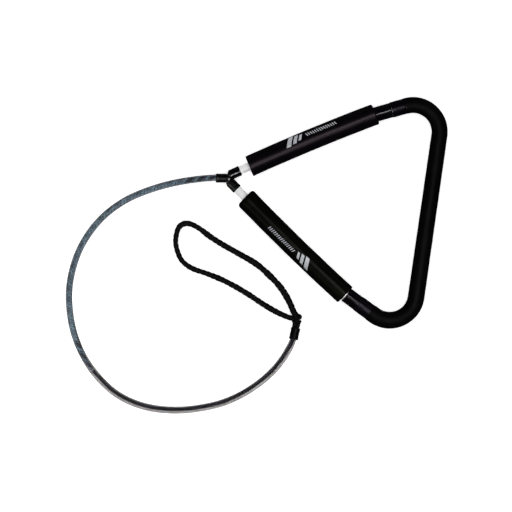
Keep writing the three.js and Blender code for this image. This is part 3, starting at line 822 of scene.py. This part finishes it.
FOAM = foam("foam_skin", (1.0, 0.82, 0.96, 1), (0.0010, 0.0007, 0.0012), (0.0026, 0.0019, 0.0028), 0.026)
FOAM_B = foam("foam_skin_b", (0.95, 1.0, 0.82, 1), (0.0009, 0.0009, 0.0008), (0.0022, 0.0023, 0.0018), 0.009)
GRIP, BAND, COVER, MOULD, LEAD = grip_rubber(), band(), gloss_cover("gloss_cover", 0.039), moulded(), lead_white()
COVER_B = gloss_cover("gloss_cover_b", 0.019)
CLEAR, SLEEVE, ALU, NYLON, INK = clear_hose(), shrink_sleeve(), aluminium(), nylon(), ink()
ROPE_GREY = rope_look("rope_grey", "rope_grey", (0.006, 0.011, 0.020), (0.36, 0.54, 0.68), (0.0010, 0.0010, 0.0020), sheen=0.0, gloss=0.012, threads=0.38)
ROPE_NAVY = rope_look("rope_navy", "rope_navy", (0.0007, 0.0007, 0.0024), (0.0065, 0.0075, 0.0160), (0.10, 0.13, 0.19), sheen=0.0, gloss=0.012, threads=0.3)
ROPE_BLACK = rope_look("rope_black", "rope_black", (0.0004, 0.0004, 0.0004), (0.0036, 0.0034, 0.0036), sheen=0.0, gloss=0.03, threads=0.42)


def dress(ob, look):
    ob.data.materials.clear()
    ob.data.materials.append(look.m)
    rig.slot(ob, look.slot)
    return ob


floor.data.materials.append(pale_floor().m)

# ------------------------------------------------------------------ the bent tube's centreline
def arc(sign, deg):
    a = math.radians(deg)
    return np.array([BAR_X - BEND_R + BEND_R * math.cos(a), sign * (BEND_Y + BEND_R * math.sin(a)), 0.0])


def half(sign, turned, arm):
    a = math.radians(turned)
    end = arc(sign, turned)
    d = np.array([-math.sin(a), sign * math.cos(a), 0.0])
    mouth = end + d * arm
    pts = [mouth + (end - mouth) * t for t in np.linspace(0, 1, 30, endpoint=False)]
    pts += [arc(sign, turned * (1 - t)) for t in np.linspace(0, 1, 60)]
    for q in pts:
        q[2] = BAR_Z + (FLOAT_Z - BAR_Z) * max(0.0, (BAR_X - q[0]) / (BAR_X - mouth[0]))
    return pts, mouth, d


upper_pts, upper_mouth, upper_dir = half(1, UPPER_TURN, UPPER_ARM)
lower_pts, lower_mouth, lower_dir = half(-1, LOWER_TURN, LOWER_ARM)
bar = [np.array([BAR_X, y, BAR_Z]) for y in np.linspace(BEND_Y, -BEND_Y, 60)[1:-1]]
tube = Route([mm(*q) for q in [*upper_pts, *bar, *lower_pts[::-1]]], step=0.001)
L = tube.length * 1000


def soft(amount, scale, seed):
    """Slow unevenness for a soft skin: a radius change in metres at (s, th)."""

    def f(s, th):
        out = np.zeros(np.broadcast(s, th).shape)
        ss = np.broadcast_to(s, out.shape)
        tt = np.broadcast_to(th, out.shape)
        for (i, j), x in np.ndenumerate(out):
            out[i, j] = noise.noise(Vector((ss[i, j] * scale, math.cos(tt[i, j]) * 1.3 + seed, math.sin(tt[i, j]) * 1.3)))
        return amount * out

    return f


def sleeved(name, route, s0, s1, ro, ri, n, look, lip=0.6, lip_b=None, step=2.0, uneven=None, inner=None, shape=None):
    s, r, o, e_ = sleeve(s0, s1, ro, ri, lip, lip_b, step, inner)

    def radius(S, T, rad):
        if uneven is not None:
            rad = rad + uneven(S, T) * o[:, None]
        if shape is not None:
            rad = rad + shape(S, T) * o[:, None]
        return rad

    ob = swept(name, route, s, r, n, radius=radius, attrs={"edge": e_})
    return dress(ob, look)


COVER_U, BAND_U = 24.5, 47.5
BAND_L0, COVER_L0 = L - 21.5 - 25.0, L - 21.5
ramp = lambda x: 13.15 + 0.8 * (x - BAND_U) / (BAND_L0 - BAND_U)
core = sleeved("core_tube", tube, -4.0, L + 8.0, 11.1, 9.5, 48, ALU, lip=0.4, step=4)
grip = sleeved("rubber_grip", tube, BAND_U + 0.15, BAND_L0 - 0.15, ramp, 11.2, 72, GRIP, lip=0.9, step=2.2, uneven=soft(0.00016, 55, 2.0))
band_u = sleeved("grip_band_a", tube, COVER_U + 0.15, BAND_U, lambda x: 12.85 + 0.12 * np.exp(-((x - 31) / 4) ** 2), 11.2, 72, BAND, lip=0.5, step=1.0, uneven=soft(0.00012, 130, 5.0))
band_l = sleeved("grip_band_b", tube, BAND_L0, COVER_L0 - 0.15, lambda x: 13.45 + 0.10 * np.exp(-((x - BAND_L0 - 12) / 5) ** 2), 11.2, 72, BAND, lip=0.5, step=1.0, uneven=soft(0.00012, 130, 8.0))
cover_u = sleeved("tube_cover_a", tube, -4.5, COVER_U, lambda x: 12.22 + 0 * x, 11.2, 72, COVER, lip=0.35, step=1.5, uneven=soft(0.00005, 60, 1.0))
cover_l = sleeved("tube_cover_b", tube, COVER_L0, L + 2.9, lambda x: 12.85 + 0 * x, 11.2, 72, COVER_B, lip=0.35, step=1.5, uneven=soft(0.00005, 60, 4.0))
for piece, cad in ((core, "handle_core_tube"), (grip, "grip"), (band_u, "upper_grip_band"), (band_l, "lower_grip_band"), (cover_u, "upper_tube_cover"), (cover_l, "lower_tube_cover")):
    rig.ride(piece, "handle")
    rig.replaces(piece, cad)

# ------------------------------------------------------------------ floats
def float_body(name, ends, outward, look, lips, mouth, seed, puff):
    route = Route([mm(*ends[0], FLOAT_Z), mm(*ends[1], FLOAT_Z)], step=0.001)
    length = route.length * 1000
    uneven = soft(0.00022, 24, seed)

    def outer(x):
        x = np.asarray(x, float)
        return 17.62 + puff * np.exp(-(((x - (length - 9)) / 9) ** 2))

    def skin(S, T):
        bow = 0.0019 * np.sin(np.pi * np.clip(S / route.length, 0, 1)) ** 0.8
        return uneven(S, T) + bow * outward * np.sin(T)

    inner = np.concatenate([np.linspace(length - 0.6, 7.4, 40), [6.9, 6.5, 6.2, 6.0, 5.8, 4.0, 2.0, 0.6]])
    bore = lambda x: np.where(np.asarray(x) < 5.9, mouth, 8.2 + 0.0 * np.asarray(x)) * 1.0
    ob = sleeved(name, route, 0.0, length, outer, bore, 96, look, lip=lips[0], lip_b=lips[1], step=2.4, inner=inner, shape=skin)
    return ob, route, lambda S, T: outer(S * 1000) / 1000 + skin(S, T)


def printed(name, route, surface, at, shapes, look):
    """Flat print on a float: each shape is four corners (along, around) in millimetres from the place (s, angle)."""
    verts, faces = [], []
    s0, th0 = at[0] / 1000, math.radians(at[1])
    for shape in shapes:
        q = np.array(shape, float) / 1000
        nu = max(2, int(np.linalg.norm(q[1] - q[0]) / 0.0010))
        nv = max(2, int(np.linalg.norm(q[3] - q[0]) / 0.0008))
        u, v = np.meshgrid(np.linspace(0, 1, nu + 1), np.linspace(0, 1, nv + 1), indexing="ij")
        g = q[0] * ((1 - u) * (1 - v))[..., None] + q[1] * (u * (1 - v))[..., None] + q[2] * (u * v)[..., None] + q[3] * ((1 - u) * v)[..., None]
        S, T = s0 + g[..., 0], th0 + g[..., 1] / 0.0177
        p, up, side = route.at(S)
        rad = surface(S, T)
        layers = []
        for lift in (-0.00005, 0.00009):
            layers.append(p + (rad + lift)[..., None] * (np.cos(T)[..., None] * up + np.sin(T)[..., None] * side))
        base = len(verts)
        a, b = nu + 1, nv + 1
        verts += layers[0].reshape(-1, 3).tolist() + layers[1].reshape(-1, 3).tolist()
        at_ = lambda i, j, k: base + k * a * b + i * b + j
        for i in range(nu):
            for j in range(nv):
                faces.append([at_(i, j, 1), at_(i + 1, j, 1), at_(i + 1, j + 1, 1), at_(i, j + 1, 1)])
                faces.append([at_(i, j, 0), at_(i, j + 1, 0), at_(i + 1, j + 1, 0), at_(i + 1, j, 0)])
        for i in range(nu):
            faces.append([at_(i, 0, 0), at_(i + 1, 0, 0), at_(i + 1, 0, 1), at_(i, 0, 1)])
            faces.append([at_(i, nv, 0), at_(i, nv, 1), at_(i + 1, nv, 1), at_(i + 1, nv, 0)])
        for j in range(nv):
            faces.append([at_(0, j, 0), at_(0, j, 1), at_(0, j + 1, 1), at_(0, j + 1, 0)])
            faces.append([at_(nu, j, 0), at_(nu, j + 1, 0), at_(nu, j + 1, 1), at_(nu, j, 1)])
    ob = mesh_object(name, verts, faces)
    return dress(ob, look)


def stripes(bars_at, bars_way, dashes_at, dashes_way, count, flip=1):
    """A plain graphic: three slanted bars, growing, then a run of short dashes."""
    bars, dashes = [], []
    x = 0.0
    for w, h in ((4.8, 5.0), (6.4, 7.0), (8.0, 9.0)):
        k = h * 0.55
        bars.append([(x - k, -h), (x + w - k, -h), (x + w + k, h), (x + k, h)])
        x += w + 3.0
    x = 0.0
    for i in range(count):
        w, h = 2.9, 2.9
        k = h * 0.35
        dashes.append([(x - k, -h), (x + w * 0.6 - k, -h), (x + w * 0.6 + k, h), (x + k, h)])
        x += w + 1.0
    placed = lambda shapes, at, way: [[(at + way * u, flip * v) for u, v in q] for q in shapes]
    return placed(bars, bars_at, bars_way) + placed(dashes, dashes_at, dashes_way)


float_u, float_u_route, float_u_skin = float_body("foam_float_a", UPPER_FLOAT, -1, FOAM, (2.2, 1.1), 13.0, 3.0, 0.0)
float_l, float_l_route, float_l_skin = float_body("foam_float_b", LOWER_FLOAT, 1, FOAM_B, (1.1, 5.0), 12.4, 6.0, 0.25)
print_u = printed("float_print_a", float_u_route, float_u_skin, (100.0, -39.0), stripes(27.0, 1, 19.0, -1, 14), INK)
print_l = printed("float_print_b", float_l_route, float_l_skin, (100.0, 26.0), stripes(3.0, -1, 11.0, 1, 15), INK)
for piece, body, cad in ((float_u, "upper_float", "upper_float"), (float_l, "lower_float", "lower_float")):
    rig.ride(piece, body)
    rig.replaces(piece, cad)
    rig.padded(piece, 0.9)
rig.ride(print_u, "upper_float")
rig.ride(print_l, "lower_float")

# ------------------------------------------------------------------ Y connector
def cylinder(p, a, b, r, edge):
    a, b = np.array(a, float), np.array(b, float)
    length = np.linalg.norm(b - a)
    t = (b - a) / length
    u = (p - a) @ t
    away = np.linalg.norm(p - a - u[:, None] * t, axis=1)
    dx, dy = away - (r - edge), np.abs(u - length / 2) - (length / 2 - edge)
    return np.minimum(np.maximum(dx, dy), 0) + np.linalg.norm(np.maximum(np.stack([dx, dy], 1), 0), axis=1) - edge


def blended(a, b, k):
    h = np.clip(0.5 + 0.5 * (b - a) / k, 0, 1)
    return b * (1 - h) + a * h - k * h * (1 - h)


def point(q, z=FLOAT_Z):
    return np.array([q[0], q[1], z], float)


def towards(a, b, d):
    a, b = np.array(a, float), np.array(b, float)
    return a + (b - a) / np.linalg.norm(b - a) * d


y_up, y_lo, y_te, y_c = point(Y_UPPER_END), point(Y_LOWER_END), point(Y_TETHER_END), point(Y_CENTRE)
root_u, root_l = point(Y_UPPER_ROOT), point(Y_LOWER_ROOT)


def y_field(p):
    low = np.array([0.0, -0.5, 0.0])
    stem = cylinder(p, towards(y_c, y_te, -6) + low, y_te + low, 7.25, 0.7)
    stem = blended(stem, cylinder(p, towards(y_te, y_c, 3.2) + low, y_te + low, 7.42, 0.6), 0.35)
    hub = np.linalg.norm(p - (y_c + np.array([3.0, 0, 0])), axis=1) - 7.3
    necks = blended(cylinder(p, root_u, towards(root_u, y_up, 9), 6.8, 0.6), cylinder(p, root_l, towards(root_l, y_lo, 10), 6.8, 0.6), 1.0)
    necks = np.maximum(necks, -166.3 - p[:, 0])
    body = blended(blended(stem, hub, 0.6), necks, 0.25)
    # each arm is a barrel that steps down behind its socket, with a shallow collar at the mouth
    for root, end, step in ((root_u, y_up, 6.9), (root_l, y_lo, 8.3)):
        arm = cylinder(p, towards(root, end, step), end, 8.15, 0.55)
        arm = blended(arm, cylinder(p, towards(end, root, 3.4), end, 8.3, 0.6), 0.35)
        body = blended(body, arm, 0.3)
    # parting line of the mould round the middle
    body = blended(body, np.maximum(body - 0.14, np.abs(p[:, 2] - FLOAT_Z) - 0.22), 0.12)
    for end, root, r, depth in ((y_up, root_u, 6.95, 11.3), (y_lo, root_l, 6.95, 11.3), (y_te, y_c, 5.75, 9.3)):
        hole = cylinder(p, towards(end, root, depth), towards(end, root, -4), r, 0.3)
        body = -blended(-body, hole, 0.5)
    for end, root, r in ((y_up, root_u, 4.4), (y_lo, root_l, 4.4), (y_te, towards(y_c, y_te, -4), 4.7)):
        body = -blended(-body, cylinder(p, root, end, r, 0.5), 0.4)
    return body


ends = np.array([y_up, y_lo, y_te])
v, f = surface_nets(y_field, (ends[:, 0].min() - 2.4, ends[:, 1].min() - 9.3, FLOAT_Z - 9.4), (ends[:, 0].max() + 7.5, ends[:, 1].max() + 9.3, FLOAT_Z + 9.4), 0.42)
connector = dress(mesh_object("y_moulding", (v + SHIFT) / 1000, f), MOULD)
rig.ride(connector, "yoke")
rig.replaces(connector, "y_connector")

# ------------------------------------------------------------------ hoses from the Y into the handle
def lead_route(root, end, ends_, mouth, direction, inside=12.0):
    into = (end - root) / np.linalg.norm(end - root)
    a, b = point(ends_[0]), point(ends_[1])
    d = (a - b) / np.linalg.norm(a - b)
    tip = mouth - direction * inside
    tip[2] = FLOAT_Z - inside * 0.035
    m = mouth + direction * 1.0
    m[2] = FLOAT_Z
    knots = [end - into * 11, end, end + into * 4, b + d * 4, b + (a - b) * 0.3, b + (a - b) * 0.62, a - d * 34, m, tip]
    return Route(catmull([mm(*k_) for k_ in knots]), step=0.0008)


lead_u_route = lead_route(root_u, y_up, UPPER_FLOAT, upper_mouth.copy(), upper_dir)
lead_l_route = lead_route(root_l, y_lo, LOWER_FLOAT, lower_mouth.copy(), lower_dir)
FLEX_A, FLEX_B = tuple(mm(-131.6, 14.5, FLOAT_Z)), tuple(mm(-146.4, 14.5, FLOAT_Z))
for tag, route, cad in (("a", lead_u_route, "upper_lead_tube"), ("b", lead_l_route, "lower_lead_tube")):
    piece = sleeved("lead_hose_" + tag, route, 0.0, route.length * 1000, 6.7, 4.7, 40, LEAD, lip=0.5, step=1.6, uneven=soft(0.00006, 200, 2.0))
    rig.replaces(piece, cad)
    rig.blend(piece, "handle", "yoke", start=FLEX_A, end=FLEX_B)

# bridle rope: out of the splice, up one hose, round the tube and down the other hose
inset = tube.part(0.022, tube.length - 0.022)
bridle_pts = [mm(*towards(y_up, root_u, np.linalg.norm(y_up - root_u) - 6.2))]
bridle_pts += [q for q, s_ in zip(lead_u_route.p[::12], lead_u_route.s[::12]) if s_ > 0.006]
bridle_pts += list(inset.p[::12])
bridle_pts += [q for q, s_ in zip(lead_l_route.p[::12], lead_l_route.s[::12]) if s_ > 0.006][::-1]
bridle_pts += [mm(*towards(y_lo, root_l, np.linalg.norm(y_lo - root_l) - 6.2))]
bridle_route = Route(catmull(bridle_pts, per=8), step=0.001, soften=0.003)
bridle = dress(rope("bridle_rope_braid", bridle_route, 0.0, bridle_route.length, 0.00310, 8, 0.020, 0.00035, 32, 0.0011), ROPE_GREY)
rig.replaces(bridle, "bridle_rope")
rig.blend(bridle, "handle", "yoke", start=FLEX_A, end=FLEX_B)

# whipped splice inside the Y
splice_dir = (y_te - y_c) / np.linalg.norm(y_te - y_c)
splice_route = Route([mm(*(y_c + splice_dir * 7.2)), mm(*(y_c - splice_dir * 2.0))], step=0.0002)
s_, r_ = rod(0.0, splice_route.length * 1000, 4.0, lip=0.8, step=0.12)
splice = swept("splice_whipping", splice_route, s_, r_, 40, ring=False, radius=lambda S, T, rad: rad + 0.00018 * np.abs(np.sin(np.pi * (S / 0.0009 + T / (2 * np.pi)))) * (rad > 0.0035))
at = splice.data.attributes
for key, val in (("tone", 0.5), ("groove_shade_mask", 1.0), ("across", 0.0)):
    at.new(key, "FLOAT", "POINT").data.foreach_set("value", np.full(len(splice.data.vertices), val, np.float32))
dress(splice, ROPE_BLACK)
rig.ride(splice, "yoke")
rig.replaces(splice, "rope_splice")
for tag in ("upper", "lower"):
    node_ = frame["nodes"][tag + "_end_bush"]
    node_.data.materials.clear()
    node_.data.materials.append(NYLON.m)

# ------------------------------------------------------------------ tether: clear hose and the ropes in it
TETHER_LIE = 5.5 / math.cos(math.pi / 10)
SLEEVE_Z = 7.7 / math.cos(math.pi / 14)
sleeve_a, sleeve_b = np.array([*SLEEVE_START, SLEEVE_Z]), np.array([*SLEEVE_END, SLEEVE_Z])
sleeve_dir = (sleeve_b - sleeve_a) / np.linalg.norm(sleeve_b - sleeve_a)
drop = [1, 0.93, 0.62, 0.27, 0.06]
knots = [towards(y_te, y_c, 9), y_te, towards(y_te, y_c, -8)]
for i, q in enumerate(TETHER_ROUTE):
    h = TETHER_LIE + (FLOAT_Z - TETHER_LIE) * (drop[i] if i < len(drop) else 0)
    knots.append(np.array([*q, h + (0.9 if i == len(TETHER_ROUTE) - 1 else 0)]))
knots += [sleeve_a, sleeve_a + sleeve_dir * 11]
hose_route = Route(catmull([mm(*q) for q in knots]), step=0.0006, soften=0.007)
HL = hose_route.length
CHANGE = (TAIL_FROM - 12.0) / 1000


def ease(x):
    x = np.clip(x, 0, 1)
    return x * x * (3 - 2 * x)


wider = lambda x: ease((np.asarray(x, float) - CHANGE * 1000 + 34) / 44) * ease((HL * 1000 - 15 - np.asarray(x, float)) / 14)
hose_s, hose_r, hose_o, hose_e = sleeve(0.0, HL * 1000, lambda x: 5.5 + 0.45 * wider(x), 4.9, lip=0.4, step=1.3)
hose = swept("tether_hose", hose_route, hose_s, hose_r, 48, attrs={"edge": hose_e, "skin": np.where(hose_o > 0.5, 1.0, 0.0)})
dress(hose, CLEAR)
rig.replaces(hose, "tether_jacket")

# the ropes lie against the inside of the curve, on the hose's lower wall
free = ease((hose_route.s - 0.010) / 0.05) * ease((HL - hose_route.s - 0.006) / 0.03)
slack = np.interp(hose_route.s, [0, CHANGE - 0.02, CHANGE + 0.02, HL], [0.0, 0.0, 0.00150, 0.00150])
inner_route = hose_route.moved(side=slack * free, up=-0.25 * slack * free)
change = CHANGE * inner_route.length / HL


def tracer(S, T, fam, idx, h):
    """Black tracer yarns: three slanting marks where the rope leaves the Y, three more before the dark rope starts."""
    out = np.zeros(S.shape)
    turned = (T + np.pi) % (2 * np.pi) - np.pi
    for place, v0, half, wide in ((0.0155, 0.0, 0.0046, 0.0029), (0.0335, 0.1, 0.0052, 0.0029), (0.0520, 0.1, 0.0054, 0.0027),
                                  (change - 0.0465, 0.0016, 0.0050, 0.0029), (change - 0.0255, 0.0016, 0.0054, 0.0029), (change - 0.0070, 0.0014, 0.0050, 0.0029)):
        v = 0.0043 * turned - (v0 if v0 < 0.05 else 0.0002)
        ragged = 0.0007 * np.where(fam == 0, 1, -1) * (h - 0.4)
        out = np.maximum(out, (np.abs((S - place) - 1.7 * v) < half + ragged) & (np.abs(v) < wide + ragged))
    return out.astype(float)


grey = rope("tether_rope_braid", inner_route, 0.0092, change, lambda x: 0.00486 - 0.00166 * float(ease((x - change + 0.05) / 0.05)) - 0.0006 * float(ease((0.022 - x) / 0.012)), 8, 0.0185, 0.00045, 60, 0.00042, paint=tracer, ends=0.8, seed=1.0)
dress(grey, ROPE_GREY)
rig.replaces(grey, "tether_rope")
tail_knots = [*inner_route.p[inner_route.s > change + 0.0003][::12], *[mm(*(sleeve_b - sleeve_dir * k_)) for k_ in (4.0, 1.0)]]
tail_route = Route(catmull(tail_knots, per=6), step=0.0006, soften=0.003)


def tail_marks(S, T, fam, idx, h):
    return np.where((fam == 0) & (idx == 5), 0.8, 0.0) * (S < 0.02)


navy = rope("tail_rope_braid", tail_route, 0.0, tail_route.length, 0.00320, 8, 0.018, 0.00036, 52, 0.00048, paint=tail_marks, ends=0.8, seed=2.0)
dress(navy, ROPE_NAVY)
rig.replaces(navy, "tether_tail_rope")
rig.ride(navy, "handle")

# ------------------------------------------------------------------ end sleeve
cover_route = Route([mm(*sleeve_a), mm(*sleeve_b)], step=0.0005)
SL = cover_route.length * 1000


def sleeve_shape(x):
    x = np.asarray(x, float)
    return 7.40 + 0.22 * np.exp(-((x - 2.0) / 1.8) ** 2) + 0.22 * np.exp(-((x - SL + 2.4) / 1.6) ** 2) - 0.2 * np.exp(-((x - 12.5) / 2.0) ** 2)


hose_bore = lambda x: np.where(np.asarray(x, float) < 11.25, 5.7, 3.4)
shrink = sleeved("end_sleeve_shrink", cover_route, 0.0, SL, sleeve_shape, hose_bore, 64, SLEEVE, lip=0.7, step=0.6, uneven=soft(0.00035, 210, 4.0), inner=[SL - 0.6, 14.0, 11.6, 11.3, 11.2, 6.0, 0.6])
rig.ride(shrink, "handle")
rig.replaces(shrink, "tether_end_sleeve")

# ------------------------------------------------------------------ knot
K = np.array([*KNOT, SLEEVE_Z])
RIGHT = np.array([sleeve_dir[1], -sleeve_dir[0], 0.0])


def near_knot(*rows):
    """Points given to the right, forwards (out of the sleeve) and up from the knot's middle, in millimetres."""
    return [mm(*(K + RIGHT * a + sleeve_dir * b + np.array([0, 0, c]))) for a, b, c in rows]


def knot_strand(name, rows, radius, seed, **more):
    route = Route(catmull(near_knot(*rows), per=24), step=0.0003, soften=0.0011).carried()
    ob = rope(name, route, 0.0, route.length, radius, 4, 0.024, 0.0009, 44, 0.00045, seed=seed, lump=0.00025, **more)
    dress(ob, ROPE_BLACK)
    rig.ride(ob, "handle")
    return ob


# two strands side by side out of the sleeve: one turns over into a bight, the other goes under it, and a third crosses on top
knot_strand("knot_standing_strand", (
    (-3.1, -15.0, 0.2), (-3.3, -11.0, 0.4), (-3.7, -7.0, 0.8), (-3.2, -3.0, 1.8), (-1.0, 0.6, 3.0), (1.7, 4.0, 2.6), (3.0, 6.4, 0.4),
    (1.2, 7.2, -1.6), (-2.2, 7.6, -2.2), (-5.2, 10.0, -2.6), (-7.6, 13.4, -2.9)), 0.0036, 3.0)
knot_under = knot_strand("knot_wrapped_strand", (
    (2.0, -15.0, -0.2), (2.1, -11.0, -0.2), (2.3, -7.0, -0.4), (2.2, -3.0, -0.8), (0.2, 0.4, -1.6), (-3.6, 1.6, -1.8), (-8.2, 2.8, -2.4), (-12.5, 4.2, -2.9)), 0.0037, 4.0)
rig.replaces(knot_under, "loop_knot")
knot_strand("knot_crossing_strand", (
    (-6.2, -4.2, -3.4), (-6.6, -3.6, 0.0), (-4.6, -3.0, 3.6), (-0.4, -2.2, 5.0), (3.4, -1.6, 3.2), (4.6, -1.4, -0.6), (3.2, -1.8, -4.0)), 0.0026, 5.0)

# ------------------------------------------------------------------ tie loop
LOOP_LIE = 4.8 / math.cos(math.pi / 10) + 0.2
loop_base = Route(catmull([mm(*K), *[mm(*q, LOOP_LIE) for q in LOOP_ROUTE], mm(*K)]), step=0.0006, soften=0.004)
LL = loop_base.length
GIRTH = ([0, 0.02, 0.05, 0.13, 0.19, 0.25, 0.30, 0.345, 0.40, 0.50, LL - 0.02, LL], [4.6, 5.3, 5.55, 5.35, 4.95, 4.75, 4.35, 4.45, 4.85, 5.0, 4.7, 4.2])
girth = lambda x: float(np.interp(x, *GIRTH)) / 1000 + 0.0002
loop_route = loop_base.moved(up=np.array([max(0.0, girth(x) - 0.0048) for x in loop_base.s]))
loop = rope("tie_loop_braid", loop_route, 0.001, loop_route.length - 0.001, girth, 4, 0.034, 0.0016, 60, 0.0007, wobble=0.12, seed=6.0, lump=0.00075)
dress(loop, ROPE_BLACK)
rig.replaces(loop, "tie_loop")
SWING = Vector((-0.845, 0.535, 0))
knot_at = Vector(mm(*K))
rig.blend(loop, "handle", "loop", start=knot_at - SWING * 0.020, end=knot_at + SWING * 0.036)

# ------------------------------------------------------------------ the tether crosses the yoke's bend
for piece in (hose, grey):
    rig.blend(piece, "handle", "yoke", start=(-0.230, -0.102, 0.0177), end=(-0.184, 0.013, 0.0177))

line = lambda route, gap=0.008: [list(map(float, q)) for q in route.p[:: max(1, int(gap / route.s[1]))]] + [list(map(float, route.p[-1]))]
exit_ = mm(*y_te)
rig.cord(hose, exit=exit_, length=round(HL, 3), diameter=0.011, far_end="fitting", stiffness="stiff", lay="loose", path=line(hose_route), with_pieces=[shrink])
grey_line = inner_route.part(0.0092, change)
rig.cord(grey, exit=exit_, length=round(grey_line.length, 3), diameter=0.0086, far_end="object", stiffness="medium", lay="loose", path=line(grey_line))
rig.cord(navy, exit=tail_route.p[0], length=round(tail_route.length, 3), diameter=0.0056, far_end="knot", stiffness="medium", lay="loose", path=line(tail_route))
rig.cord(loop, exit=mm(*K), length=round(loop_route.length, 3), diameter=0.0098, far_end="object", stiffness="limp", lay="loose", path=line(loop_route))

made_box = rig.bounds()
with open("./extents.json", "w") as out_file:
    json.dump({"cad": [list(map(float, c)) for c in cad_box], "visual": [list(map(float, c)) for c in made_box]}, out_file)
